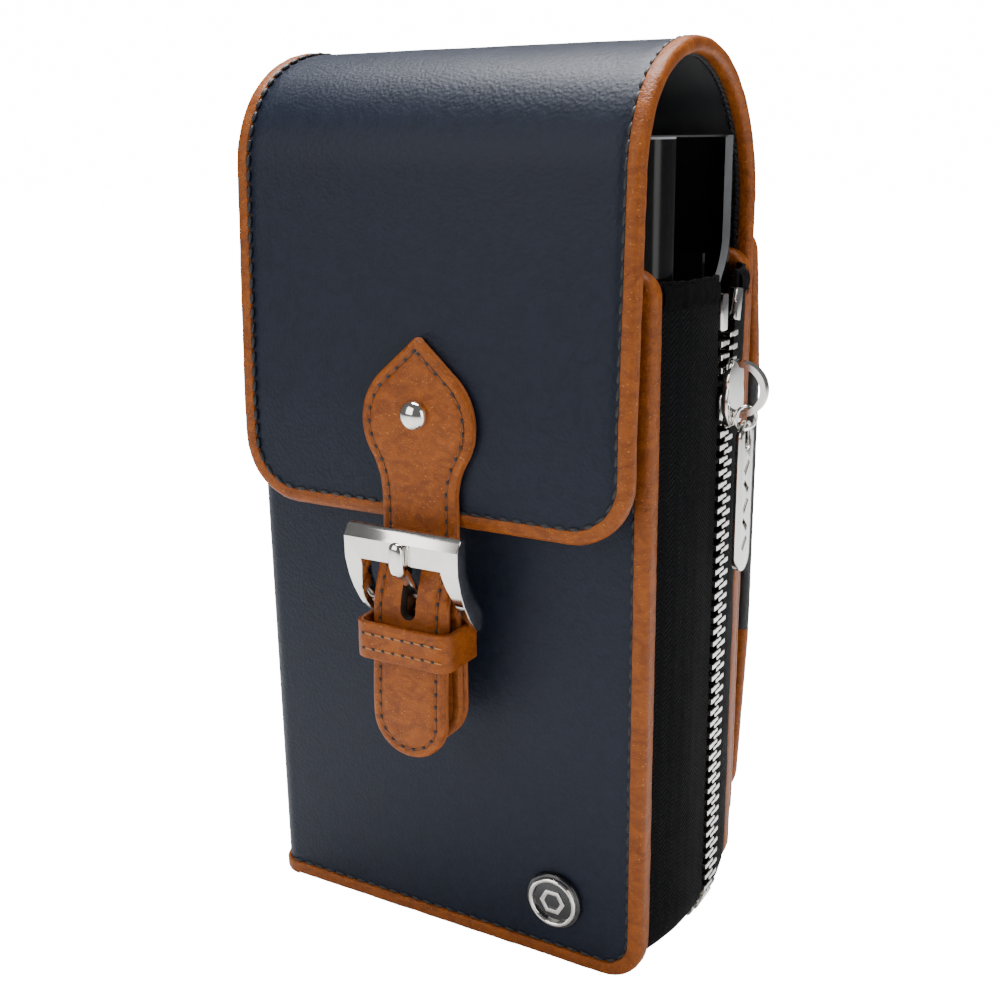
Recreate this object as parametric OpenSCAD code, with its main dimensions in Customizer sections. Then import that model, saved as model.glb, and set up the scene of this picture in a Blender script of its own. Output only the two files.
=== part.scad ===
// Upright belt pouch with a buckled flap, a side zip and a clear inner tray.
// X runs to the zip side, -Y is the front with the buckle, +Z is up.
// The origin is on the ground under the middle of the body.

/* [Body] */
// width over the front and rear panels, without the spine and the zip (mm)
case_width = 90; // [80:0.5:100]
// outer face of the front panel in front of the middle plane (mm)
front_face = 25; // [20:0.1:30]
// outer face of the rear panel behind the middle plane (mm)
rear_face = 24.2; // [20:0.1:30]
// height of the two panels (mm)
panel_height = 144.5; // [120:0.5:160]
// radius of the lower corner of the panels (mm)
panel_corner = 9; // [5:0.5:15]
// width of the leather edge binding on a face (mm)
binding_width = 3.3; // [2.5:0.1:5]
// outer radius where the leather turns round the spine (mm)
spine_radius = 5; // [3:0.5:6]

/* [Flap] */
// half the width of the flap over its binding (mm)
flap_half = 44.3; // [40:0.1:48]
// height of the lower edge of the flap (mm)
flap_bottom = 94.5; // [80:0.5:110]
// radius of the lower corners of the flap (mm)
flap_corner = 13; // [8:0.5:18]
// height of the line the flap hinges on (mm)
flap_hinge_z = 153.4; // [150:0.1:158]
// thickness of the flap leather (mm)
flap_skin_t = 1.3; // [1:0.1:2]
// thickness of the ribbed flap lining (mm)
flap_lining_t = 0.9; // [0.5:0.1:1.5]

/* [Strap] */
// half the width of the strap (mm)
strap_half = 8.5; // [7:0.1:10]
// thickness of the strap (mm)
strap_t = 2.4; // [1.8:0.1:3]
// height of the strap's free tip (mm)
tip_z = 47.4; // [40:0.1:55]
// half the width of the buckle (mm)
buckle_half = 13; // [11:0.1:15]
// height of the buckle's pivot bar (mm)
pivot_z = 78; // [70:0.1:84]
// distance of the pivot bar in front of the middle plane (mm)
pivot_y = 33.8; // [32:0.1:36]
// height of the press stud (mm)
snap_z = 59; // [52:0.1:64]
// height of the rivet (mm)
rivet_z = 116.5; // [110:0.1:122]

/* [Zip] */
// distance from the middle plane to the zip chain on the side (mm)
zip_x = 48.6; // [47:0.1:51]
// height of the zip chain along the bottom (mm)
zip_z = 1.4; // [1.3:0.1:2]
// radius of the zip chain round the lower corner (mm)
zip_corner = 12; // [9:0.5:16]
// pitch of the teeth on one tape (mm)
tooth_pitch = 2.54; // [2:0.01:3]
// height of the slider's lower end (mm)
slider_z = 113; // [100:1:118]

/* [Tray] */
// height of the tray's rim (mm)
tray_top = 166.8; // [150:1:172]
// wall thickness of the tray (mm)
tray_wall = 1.5; // [1:0.1:2.5]

/* [Belt loop] */
// lower end of the belt tunnel (mm)
tunnel_low = 57; // [50:1:70]
// upper end of the belt tunnel (mm)
tunnel_high = 117; // [100:1:125]
// outer face of the belt panel behind the middle plane (mm)
belt_face = 36.8; // [34:0.1:42]
// height of the belt panel's upper edge (mm)
belt_top = 149; // [145:0.5:150]

/* [Hidden] */
$fn = 96;
hw = case_width / 2;
sx = -hw - 3;

// arch of the flap: two circles that touch, seen from the side
c2 = [-3.1, flap_hinge_z];
r2 = 31;
r1 = 23;
c1 = c2 + (r2 - r1) * [cos(120), sin(120)];

// turns a side view drawn in y and z into a solid along x
module along_x(x0, x1) {
  translate([x0, 0, 0]) rotate([90, 0, 90]) linear_extrude(x1 - x0) children();
}
// turns a front view drawn in x and z into a solid between two y
module along_y(y0, y1) {
  translate([0, y1, 0]) rotate([90, 0, 0]) linear_extrude(y1 - y0) children();
}

// outline of a panel, pulled in by d; straight at the spine
module panel_outline(d) {
  r = panel_corner - d;
  r2t = 5 - d;
  difference() {
    translate([-43, d]) square([hw + 43 - d, panel_height - 2 * d]);
    translate([hw - d - r, d]) difference() {
      square([r + 1, r + 0]);
      translate([0, r]) circle(r);
    }
    if (r2t > 0.2) translate([hw - d - r2t, panel_height - d - r2t]) difference() {
      square([r2t + 1, r2t + 1]);
      circle(r2t);
    }
  }
}
// binding round the edge of a panel whose layers lie between y0 and y1
module panel_binding(y0, y1) {
  difference() {
    along_y(y0 - 0.7, y1 + 0.7) panel_outline(0);
    along_y(y0 - 1.5, y1 + 1.5) difference() {
      union() {
        translate([-50, binding_width]) square([40, panel_height - 2 * binding_width]);
        panel_outline(binding_width);
      }
    }
    along_y(y0, y1) union() {
      translate([-50, 0.7]) square([40, panel_height - 1.4]);
      panel_outline(0.7);
    }
  }
}
// the same binding carried round the foot of the spine
module spine_binding(face, side) {
  module quarter(r_out, r_in) translate([-43, side * (face - spine_radius)]) intersection() {
    difference() {
      circle(r_out);
      circle(r_in);
    }
    translate([-10, side > 0 ? 0 : -10]) square(10);
  }
  linear_extrude(binding_width) quarter(spine_radius + 0.7, spine_radius);
  linear_extrude(0.7) quarter(spine_radius + 0.1, spine_radius - 1.4);
}
// floor beside the spine, where the zip ends
module gusset(face, side) translate([sx + 1.3, side > 0 ? 0.15 : -face + 3.95, 0.9])
  cube([-28.1 - sx - 1.3, face - 3.95 - 0.15, 1]);
// half of the spine, from the panel's face to the middle plane
module spine_half(face, side) {
  t = 1.2;
  translate([0, 0, 0.7]) linear_extrude(panel_height - 1.4) {
    translate([sx, side > 0 ? 0.15 : -(face - spine_radius)])
      square([t, face - spine_radius - 0.15]);
    intersection() {
      translate([-43, side * (face - spine_radius)]) difference() {
        circle(spine_radius);
        circle(spine_radius - t);
      }
      translate([-49, side > 0 ? face - spine_radius : -face - 1])
        square([6, spine_radius + 1]);
    }
  }
}

// edge of the flap, pulled in by d, open at the top
module flap_outline(d) {
  r = flap_corner - d;
  x = flap_half - d;
  translate([-x, flap_bottom + d + r]) square([2 * x, 120]);
  translate([-x + r, flap_bottom + d]) square([2 * x - 2 * r, r]);
  for (s = [-1, 1]) intersection() {
    translate([s * (x - r), flap_bottom + d + r]) circle(r);
    translate([s > 0 ? x - r : -x, flap_bottom + d]) square([r, r]);
  }
}
// side view of the flap between two depths under its outer face
module flap_wall(a, b) {
  // front wall
  polygon([[-32.5 + a, flap_bottom - 1], [-32.5 + b, flap_bottom - 1], [-32.5 + b, 116],
    [c1[0] - r1 + b, c1[1] + 0.02], [c1[0] - r1 + a, c1[1] + 0.02], [-32.5 + a, 116]]);
  // front shoulder
  intersection() {
    translate(c1) difference() {
      circle(r1 - a);
      circle(r1 - b);
    }
    translate(c1) polygon([[0, 0], [-60, 0], [-60, 60], [-34.64101615, 60]]);
  }
  // top and rear of the arch
  intersection() {
    translate(c2) difference() {
      circle(r2 - a);
      circle(r2 - b);
    }
    translate(c2) polygon([[0, 0], [60, 0], [60, 60], [-34.64101615, 60], [-34.68, 60]]);
  }
}

// outline of the part of the flap that stays on the back
module flap_back_outline(d) {
  x = flap_half - d;
  r = 9 - d;
  difference() {
    translate([-x, 8 + d]) square([2 * x, flap_hinge_z - 0.15 - 8 - d]);
    for (s = [-1, 1]) translate([s * (x - r), 8 + d + r]) difference() {
      translate([s > 0 ? 0 : -r - 1, -r - 1]) square([r + 1, r + 1]);
      circle(r);
    }
  }
}
module belt_outline(d, low = 14) {
  x = flap_half - 0.6 - d;
  r = 9 - d;
  rt = 6 - d;
  difference() {
    translate([-x, low + d]) square([2 * x, belt_top - low - 2 * d]);
    for (s = [-1, 1]) {
      translate([s * (x - r), low + d + r]) difference() {
        translate([s > 0 ? 0 : -r - 1, -r - 1]) square([r + 1, r + 1]);
        circle(r);
      }
      translate([s * (x - rt), belt_top - d - rt]) difference() {
        translate([s > 0 ? 0 : -rt - 1, 0]) square([rt + 1, rt + 1]);
        circle(rt);
      }
    }
  }
}
// side view of the belt panel between two depths under its outer face
module belt_wall(a, b) {
  polygon([[31.4 - a, belt_top + 1], [31.4 - b, belt_top + 1], [belt_face - b, tunnel_high],
    [belt_face - b, tunnel_low], [31.4 - b, 13], [31.4 - a, 13], [belt_face - a, tunnel_low],
    [belt_face - a, tunnel_high]]);
}

// ---- rear panel ----
module back_skin() color([0.03, 0.045, 0.08]) along_y(rear_face - 1.2, rear_face) panel_outline(0.7);
module back_board() color([0.25, 0.22, 0.18]) along_y(rear_face - 2.6, rear_face - 1.2) panel_outline(0.7);
module back_lining() color([0.03, 0.03, 0.05]) along_y(rear_face - 3.2, rear_face - 2.6) panel_outline(0.7);
module back_binding() color([0.6, 0.3, 0.11]) {
  panel_binding(rear_face - 3.2, rear_face);
  spine_binding(rear_face, 1);
}
module gusset_rear() color([0.03, 0.045, 0.08]) gusset(rear_face, 1);
module spine_rear() color([0.03, 0.045, 0.08]) spine_half(rear_face, 1);

// ---- part of the flap that stays on the back ----
module flap_back_skin() color([0.03, 0.045, 0.08]) along_y(27.5 - flap_skin_t, 27.5) flap_back_outline(0.5);
module flap_back_lining() color([0.03, 0.03, 0.04]) along_y(27.5 - flap_skin_t - flap_lining_t, 27.5 - flap_skin_t)
  flap_back_outline(0.5);
module flap_back_binding() color([0.6, 0.3, 0.11]) difference() {
  along_y(24.92, 27.9) flap_back_outline(0);
  along_y(24, 29) intersection() {
    translate([-flap_half + binding_width, 0]) square([2 * flap_half - 2 * binding_width, 200]);
    union() {
      flap_back_outline(binding_width);
      translate([-30, 100]) square([60, 80]);
    }
  }
  along_y(27.5 - flap_skin_t - flap_lining_t, 27.5) union() {
    flap_back_outline(0.5);
    translate([-flap_half + 0.5, 150]) square([2 * flap_half - 1, 20]);
  }
}

// ---- belt panel ----
module belt_panel() color([0.03, 0.045, 0.08]) intersection() {
  along_x(-50, 50) belt_wall(0.4, 1.6);
  along_y(20, 50) belt_outline(0.5);
}
module belt_panel_lining() color([0.02, 0.02, 0.025]) intersection() {
  along_x(-50, 50) belt_wall(1.6, 2.4);
  along_y(20, 50) belt_outline(0.5);
}
module belt_panel_binding() color([0.6, 0.3, 0.11]) difference() {
  intersection() {
    along_x(-50, 50) belt_wall(0, 2.8);
    along_y(20, 50) difference() {
      belt_outline(0);
      belt_outline(binding_width - 0.6);
      translate([-60, tunnel_low]) square([120, tunnel_high - tunnel_low]);
    }
  }
  intersection() {
    along_x(-50, 50) belt_wall(0.4, 2.4);
    along_y(20, 50) belt_outline(0.5);
  }
}
module tunnel_edging() color([0.015, 0.015, 0.02]) for (s = [-1, 1])
  translate([s > 0 ? flap_half - 1.1 : -flap_half + 0.6, belt_face - 2.7, tunnel_low + 0.05])
    cube([0.5, 2.6, tunnel_high - tunnel_low - 0.1]);
module belt_pad_upper() color([0.03, 0.04, 0.07]) intersection() {
  along_x(-37, 37) polygon([[27.9, tunnel_high], [belt_face - 2.8, tunnel_high],
    [31.4 - 2.8 + 0.5, belt_top - 2], [27.9, belt_top - 2]]);
  along_y(20, 50) belt_outline(3);
}
module belt_pad_lower() color([0.03, 0.04, 0.07]) intersection() {
  along_x(-37, 37) polygon([[27.9, tunnel_low], [belt_face - 2.8, tunnel_low],
    [31.4 - 2.8 + 0.5, 17], [27.9, 17]]);
  along_y(20, 50) belt_outline(3);
}

// ---- zip ----
// places on the chain line: distance s from the bottom stop gives [x, z, angle]
s_bottom = zip_x - zip_corner + 22;
s_arc = zip_corner * PI / 2;
function chain_at(s) = s < s_bottom ? [-22 + s, zip_z, -90] :
  s < s_bottom + s_arc ? [zip_x - zip_corner + zip_corner * cos(-90 + (s - s_bottom) / zip_corner * 180 / PI),
    zip_z + zip_corner + zip_corner * sin(-90 + (s - s_bottom) / zip_corner * 180 / PI),
    -90 + (s - s_bottom) / zip_corner * 180 / PI] :
  [zip_x, zip_z + zip_corner + s - s_bottom - s_arc, 0];
function edge_at(z) = z < 117 ? 3.2 : z < 127 ? 3.2 + (z - 117) * 0.1 : 4.2 + (z - 127) * 0.04;
// cross sections of a tape: [panel x, panel z, chain x, chain z, angle, edge y]
tape_path = concat(
  [for (z = [142, 135, 127, 117, 70]) [hw - 1.5, z, zip_x, z, 0, edge_at(z)]],
  [for (i = [0:8]) let (a = -90 * i / 8) [hw - panel_corner + (panel_corner - 1.5) * cos(a),
    (i == 0 ? zip_z + zip_corner : panel_corner) + (panel_corner - 1.5) * sin(a),
    zip_x - zip_corner + zip_corner * cos(a), zip_z + zip_corner + zip_corner * sin(a), a, 3.2]],
  [for (x = [10, -28]) [x, 1.5, x, zip_z, -90, 3.2]]);
tape_w = [0, 0.48, 0.78, 0.94, 1, 1];
// one cross section as a ring of twelve points
function tape_ring(p, y0, side) = let (
    ys = [y0, y0 - 3.6, y0 - 8.1, y0 - 12.6, 5.5, p[5]], n = [cos(p[4]), sin(p[4])])
  concat(
    [for (k = [0:5]) [p[0] + (p[2] - p[0]) * tape_w[k] + 0.35 * n[0], side * ys[k],
      p[1] + (p[3] - p[1]) * tape_w[k] + 0.35 * n[1]]],
    [for (k = [5:-1:0]) [p[0] + (p[2] - p[0]) * tape_w[k] - 0.35 * n[0], side * ys[k],
      p[1] + (p[3] - p[1]) * tape_w[k] - 0.35 * n[1]]]);
module zip_tape(y0, side) {
  n = len(tape_path);
  pts = [for (p = tape_path) each tape_ring(p, y0, side)];
  walls = [for (i = [0:n - 2]) for (k = [0:11]) let (a = i * 12 + k, b = i * 12 + (k + 1) % 12)
    each [[a, b, b + 12], [a, b + 12, a + 12]]];
  caps = [for (k = [0:4]) each [[k, 11 - k, k + 1], [k + 1, 11 - k, 10 - k]]];
  m = (n - 1) * 12;
  ends = [for (k = [0:4]) each [[m + k, m + k + 1, m + 11 - k], [m + k + 1, m + 10 - k, m + 11 - k]]];
  all = concat(walls, caps, ends);
  polyhedron(points = pts, faces = side < 0 ? all : [for (f = all) [f[2], f[1], f[0]]]);
}
module zip_teeth(side, shift) {
  for (i = [1:76]) {
    p = chain_at(i * tooth_pitch + shift);
    e = edge_at(p[1] > 100 ? p[1] : 0) - 0.02;
    translate([p[0], 0, p[1]]) rotate([0, -p[2], 0])
      translate([-1.2, side > 0 ? e - 3.6 : -e, -0.52]) cube([2.4, 3.6, 1.04]);
  }
}
module zip_tape_rear() color([0.015, 0.016, 0.02]) zip_tape(rear_face - 3.95, 1);
module zip_tape_front() color([0.015, 0.016, 0.02]) zip_tape(front_face - 3.95, -1);
module zip_teeth_rear() color([0.75, 0.74, 0.7]) zip_teeth(1, tooth_pitch / 2);
module zip_teeth_front() color([0.75, 0.74, 0.7]) zip_teeth(-1, 0);
module top_stop_rear() color([0.75, 0.74, 0.7]) translate([zip_x - 1.2, edge_at(135) - 2.3, 132.5]) cube([2.4, 2.1, 6.5]);
module top_stop_front() color([0.75, 0.74, 0.7]) translate([zip_x - 1.2, -edge_at(135) + 0.2, 131.5]) cube([2.4, 2.1, 7]);
module bottom_stop() color([0.75, 0.74, 0.7]) translate([-24.2, 0.2, 0.15]) cube([2.8, 2.9, 2.5]);

// ---- slider ----
module slider_body() color([0.8, 0.8, 0.77]) for (s = [0, 1])
  translate([zip_x + (s > 0 ? 1.4 : -2.7), 0, slider_z]) rotate([90, 0, 90]) linear_extrude(1.3)
    polygon([[-3.6, 0], [3.6, 0], [4.3, 1.2], [4.6, 10], [3.4, 12.6], [-3.4, 12.6], [-4.6, 10], [-4.3, 1.2]]);
module slider_bridge() color([0.8, 0.8, 0.77]) translate([zip_x + 2.7, 0, slider_z + 1.5]) {
  rotate([90, 0, 0]) translate([0, 0, -0.7]) linear_extrude(1.4) difference() {
    union() {
      square([3.2, 11]);
      intersection() {
        translate([1, 5.5]) circle(5.5);
        translate([1, 0]) square([6, 11]);
      }
    }
    translate([0, 0.9]) square([2.2, 9.2]);
    intersection() {
      translate([1, 5.5]) circle(4.6);
      translate([1, 0]) square([6, 11]);
    }
  }
}
link_x = zip_x + 4.8;
bar_top = slider_z + 2.85;
ring_z = bar_top + 0.1 - 1.503;
module link_ring() color([0.8, 0.8, 0.77]) translate([link_x, 0, ring_z]) rotate([90, 0, 45])
  rotate_extrude() translate([2.2, 0]) circle(0.4, $fn = 24);
tab_hole_top = ring_z - 1.503 + 0.38;
module pull_tab() color([0.8, 0.8, 0.77]) translate([link_x, 0, tab_hole_top]) difference() {
  translate([-0.7, 0, 0]) rotate([90, 0, 90]) linear_extrude(1.4) difference() {
    union() {
      translate([0, -2.6]) scale([1, 1]) circle(3.3);
      translate([-3.3, -26.5]) square([6.6, 24]);
      translate([0, -26.5]) circle(3.3);
    }
    // oval hole for the ring
    translate([0, -1.75]) circle(1.75);
    translate([-1.75, -3.25]) square([3.5, 1.5]);
    translate([0, -3.25]) circle(1.75);
    // row of slots
    for (k = [0:4]) translate([0, -8.4 - 3.9 * k]) rotate(k % 2 == 0 ? 45 : -45) square([3, 1.1], center = true);
  }
  // the eye is thinner above the hole's middle, so that it swings clear of the ring
  for (s = [-1, 1]) along_y(-6, 6) polygon([[s * 1, -2.2], [s * 0.4, -0.8], [s * 0.4, 2], [s * 2, 2], [s * 2, -2.2]]);
}

// ---- front panel ----
module front_skin() color([0.03, 0.045, 0.08]) along_y(-front_face, -front_face + 1.2) panel_outline(0.7);
module front_board() color([0.25, 0.22, 0.18]) along_y(-front_face + 1.2, -front_face + 2.6) panel_outline(0.7);
module front_lining() color([0.03, 0.03, 0.05]) along_y(-front_face + 2.6, -front_face + 3.2) panel_outline(0.7);
module front_binding() color([0.6, 0.3, 0.11]) {
  panel_binding(-front_face, -front_face + 3.2);
  spine_binding(front_face, -1);
}
module gusset_front() color([0.03, 0.045, 0.08]) gusset(front_face, -1);
module spine_front() color([0.03, 0.045, 0.08]) spine_half(front_face, -1);
badge_at = [25.1, -front_face, 14.4];
module badge_disc() color([0.01, 0.01, 0.012]) translate(badge_at) rotate([90, 0, 0]) cylinder(h = 1.3, r = 6.2);
module badge_ring() color([0.8, 0.8, 0.77]) translate(badge_at) rotate([90, 0, 0]) rotate_extrude()
  polygon([[4.5, 1.3], [5.5, 1.3], [5.5, 1.7], [5.2, 2.1], [4.8, 2.1], [4.5, 1.7]]);
module badge_motif() color([0.8, 0.8, 0.77]) translate(badge_at + [0, -1.3, 0]) rotate([90, 0, 0]) linear_extrude(0.35)
  difference() {
    circle(2.8, $fn = 6);
    circle(1.7, $fn = 6);
  }
module snap_stud() color([0.8, 0.8, 0.77]) translate([0, -front_face, snap_z]) rotate([90, 0, 0]) {
  cylinder(h = 0.8, r = 4.6);
  translate([0, 0, 0.8]) cylinder(h = 2.6, r = 1.5);
  translate([0, 0, 3.4]) intersection() {
    cylinder(h = 1.6, r = 2);
    translate([0, 0, -0.9]) sphere(2.5);
  }
}

// ---- flap ----
module flap_layer(a, b, d) {
  intersection() {
    along_x(-flap_half + d, flap_half - d) flap_wall(a, b);
    along_y(-60, 60) flap_outline(d);
  }
}
module rivet_hole() translate([0, -20, rivet_z]) rotate([90, 0, 0]) cylinder(h = 25, r = 1.3);
module flap_skin() color([0.03, 0.045, 0.08]) difference() {
  flap_layer(0.4, 0.4 + flap_skin_t, 0.5);
  rivet_hole();
}
module flap_lining() color([0.02, 0.02, 0.03]) difference() {
  flap_layer(0.4 + flap_skin_t, 0.4 + flap_skin_t + flap_lining_t, 0.5);
  rivet_hole();
}
module flap_binding() color([0.6, 0.3, 0.11]) difference() {
  flap_layer(0, 0.8 + flap_skin_t + flap_lining_t, 0);
  along_y(-60, 60) flap_outline(binding_width);
  flap_layer(0.4, 0.4 + flap_skin_t + flap_lining_t, 0.5);
}

// ---- strap ----
bulb_z = 114.6;
module billet_outline() {
  translate([0, bulb_z]) circle(12.6);
  // point
  polygon([[-8.39, 123.99], [8.39, 123.99], [0.4, 131.1], [-0.4, 131.1]]);
  // neck down to the strap
  difference() {
    translate([-10.6, 100.4]) square([21.2, 8]);
    for (s = [-1, 1]) translate([s * (strap_half + 14), 100.4]) circle(14);
  }
  translate([-strap_half, flap_bottom + 0.1]) square([2 * strap_half, 100.5 - flap_bottom]);
}
billet_y = -32.1;
module billet_upper() color([0.62, 0.3, 0.11]) difference() {
  along_y(billet_y - strap_t, billet_y - 0.02) billet_outline();
  translate([0, 0, 0]) rivet_hole();
  along_x(-50, 50) polygon([[-32.12, 116], [-30, 155], [-20, 155], [-20, 90], [-32.52, 90],
    [-32.52, flap_bottom + binding_width + 0.1], [-32.12, flap_bottom + binding_width + 0.1]]);
}
module rivet_cap() color([0.8, 0.8, 0.77]) translate([0, billet_y - strap_t, rivet_z]) rotate([90, 0, 0]) {
  intersection() {
    cylinder(h = 2.3, r = 2.9);
    translate([0, 0, -0.9]) sphere(3.2);
  }
  translate([0, 0, -5.4]) cylinder(h = 5.4, r = 1.2);
}
module rivet_back() color([0.8, 0.8, 0.77]) translate([0, -29.45, rivet_z]) rotate([90, 0, 0])
  translate([0, 0, -0.7]) difference() {
    cylinder(h = 0.6, r = 3);
    translate([0, 0, -1]) cylinder(h = 3, r = 1.25);
  }
// outer face of the lower strap seen from the side
module strap_side(a, b) {
  polygon([[-34.5 + a, flap_bottom - 0.1], [-34.5 + b, flap_bottom - 0.1], [-34.8 + b, 90], [-38.8 + b, 80],
    [-39.2 + b, 74], [-40.2 + b, 60], [-40.2 + b, 40], [-40.2 + a, 40], [-40.2 + a, 60], [-39.2 + a, 74],
    [-38.8 + a, 80], [-34.8 + a, 90]]);
}
module billet_lower() color([0.62, 0.3, 0.11]) difference() {
  intersection() {
    along_x(-20, 20) strap_side(0, strap_t);
    along_y(-60, -20) {
      translate([-strap_half, tip_z + strap_half]) square([2 * strap_half, flap_bottom - 0.1 - tip_z - strap_half]);
      translate([0, tip_z + strap_half]) circle(strap_half);
    }
  }
  // slot the prong comes through
  along_y(-60, -20) {
    translate([-1.8, 76.4]) square([3.6, 10.8]);
    translate([0, 87.2]) circle(1.8);
  }
}
module chape() color([0.58, 0.27, 0.1]) difference() {
  intersection() {
    along_x(-12, 12) union() {
      translate([-pivot_y, pivot_z]) circle(2.45);
      translate([-35.6, 40]) square([3.6, pivot_z - 40 - 1.2]);
    }
    along_y(-60, -20) {
      translate([-9.5, 58.5]) square([19, 30]);
      translate([0, 58.5]) circle(9.5);
    }
  }
  along_x(-20, 20) translate([-pivot_y, pivot_z]) circle(1.4);
  // room for the prong's loop
  translate([-2.2, -40, pivot_z - 2.7]) cube([4.4, 12, 8]);
  // press stud's hole
  translate([0, -28, snap_z]) rotate([90, 0, 0]) cylinder(h = 12, r = 1.6);
}
module keeper() color([0.62, 0.3, 0.11]) translate([0, 0, 68.2]) linear_extrude(7.6) difference() {
  translate([-11, -42.5]) square([22, 11.7]);
  translate([-9.75, -41.3]) square([19.5, 9.4]);
  for (s = [-1, 1]) for (y = [-42.5, -30.8]) translate([s * 11, y]) rotate(45) square(1.2, center = true);
}
module snap_cap() color([0.8, 0.8, 0.77]) translate([0, -35.62, snap_z]) rotate([90, 0, 0]) {
  intersection() {
    cylinder(h = 1.7, r = 4.8);
    translate([0, 0, -7.4]) sphere(9);
  }
  translate([0, 0, -3.6]) cylinder(h = 3.6, r = 1.5);
}
module snap_socket() color([0.8, 0.8, 0.77]) translate([0, -31.98, snap_z]) rotate([90, 0, 0])
  translate([0, 0, -2.6]) difference() {
    cylinder(h = 2.6, r = 4.6);
    translate([0, 0, -1]) cylinder(h = 2.6, r = 3.1);
  }

// ---- buckle ----
module buckle_front(d) {
  difference() {
    polygon([[-buckle_half, 70], [buckle_half, 70], [buckle_half, 93.2], [buckle_half - 1.8, 95],
      [-buckle_half + 1.8, 95], [-buckle_half, 93.2]]);
    polygon([[-11.45, 60], [11.45, 60], [11.45, 80], [9.1, 86], [9.1, 88.4], [-9.1, 88.4], [-9.1, 86], [-11.45, 80]]);
  }
}
module buckle_frame() color([0.85, 0.85, 0.83]) {
  intersection() {
    along_x(-20, 20) {
      polygon([[-41.2, 94.2], [-40.7, 95], [-38.6, 95], [-38, 94.3], [-38, 87.6], [-35.6, 82.6], [-32.6, 79.2],
        [-31.9, 75.6], [-32.9, 74.4], [-34.8, 75.6], [-38.9, 81.4], [-41.2, 88.2]]);
      translate([-pivot_y, pivot_z]) circle(1.6);
    }
    along_y(-60, -20) buckle_front(0);
  }
  along_x(-11.6, 11.6) translate([-pivot_y, pivot_z]) circle(1.2);
}
module buckle_prong() color([0.85, 0.85, 0.83]) {
  along_x(-1.35, 1.35) difference() {
    union() {
      translate([-pivot_y, pivot_z]) circle(2.2);
      polygon([[-pivot_y - 2.1, pivot_z - 0.6], [-pivot_y + 0.4, pivot_z + 2.2], [-39.8, 86.2], [-41.3, 88.2],
        [-41.35, 92.4], [-42.5, 93.3], [-43.3, 92.6], [-43.3, 88], [-41.2, 84.8]]);
    }
    translate([-pivot_y, pivot_z]) circle(1.3);
  }
}

// ---- tray ----
tray_x0 = -44;
tray_x1 = 43.6;
tray_y0 = -20.4;
tray_y1 = 19.6;
module tray_plan(d) {
  r = 6 - d;
  translate([tray_x0 + d, tray_y0 + 6]) square([tray_x1 - tray_x0 - 2 * d, tray_y1 - tray_y0 - 12]);
  translate([tray_x0 + 6, tray_y0 + d]) square([tray_x1 - tray_x0 - 12, tray_y1 - tray_y0 - 2 * d]);
  for (x = [tray_x0 + 6, tray_x1 - 6]) for (y = [tray_y0 + 6, tray_y1 - 6]) translate([x, y]) circle(r);
}
// front view of the tray, pulled in by d, rounded where the zip turns the corner
module tray_front(d) {
  r = 10 - d;
  translate([tray_x0 + d, 3.4 + d + r]) square([tray_x1 - tray_x0 - 2 * d, 200]);
  translate([tray_x0 + d, 3.4 + d]) square([tray_x1 - tray_x0 - 2 * d - r, r]);
  translate([tray_x1 - 10, 3.4 + 10]) circle(r);
}
module tray_shell() color([0.3, 0.3, 0.32, 0.5]) difference() {
  intersection() {
    translate([0, 0, 3.4]) linear_extrude(tray_top - 3.4) tray_plan(0);
    along_y(-30, 30) tray_front(0);
  }
  intersection() {
    translate([0, 0, 3.4 + tray_wall]) linear_extrude(tray_top) tray_plan(tray_wall);
    along_y(-30, 30) tray_front(tray_wall);
  }
  // cut-out of the side towards the zip, with round lower corners
  along_x(tray_x1 - 4, tray_x1 + 2) {
    translate([-14.2, 152]) square([29.6, 40]);
    translate([-14.2, 140]) square([20, 13]);
    translate([-8.2, 134]) square([5.6, 7]);
    intersection() {
      translate([-2.6, 152]) circle(18);
      translate([-2.8, 130]) square([30, 22.2]);
    }
    translate([-8.2, 140]) circle(6);
  }
}
module tray_partition() color([0.3, 0.3, 0.32, 0.5]) intersection() {
  translate([tray_x0, 4, 0]) cube([100, 1.2, 145]);
  along_y(-30, 30) tray_front(tray_wall + 0.02);
}
module tray_rim() color([0.4, 0.4, 0.42, 0.6]) translate([0, 0, tray_top - 6]) linear_extrude(5) difference() {
  tray_plan(tray_wall + 0.02);
  tray_plan(tray_wall + 0.9);
  translate([tray_x0, tray_y0 + 8]) square([100, 100]);
}

back_skin();
back_board();
back_lining();
back_binding();
spine_rear();
flap_back_skin();
flap_back_lining();
flap_back_binding();
belt_panel();
belt_panel_lining();
belt_panel_binding();
tunnel_edging();
belt_pad_upper();
belt_pad_lower();
zip_tape_rear();
zip_teeth_rear();
top_stop_rear();
bottom_stop();
gusset_rear();
gusset_front();
front_skin();
front_board();
front_lining();
front_binding();
spine_front();
zip_tape_front();
zip_teeth_front();
top_stop_front();
badge_disc();
badge_ring();
badge_motif();
snap_stud();
flap_skin();
flap_lining();
flap_binding();
billet_upper();
rivet_cap();
rivet_back();
billet_lower();
chape();
keeper();
snap_cap();
snap_socket();
buckle_frame();
buckle_prong();
tray_shell();
tray_partition();
tray_rim();
slider_body();
slider_bridge();
link_ring();
pull_tab();
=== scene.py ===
import math
import random
import bpy
import bmesh
from mathutils import Matrix, Vector, noise


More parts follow.
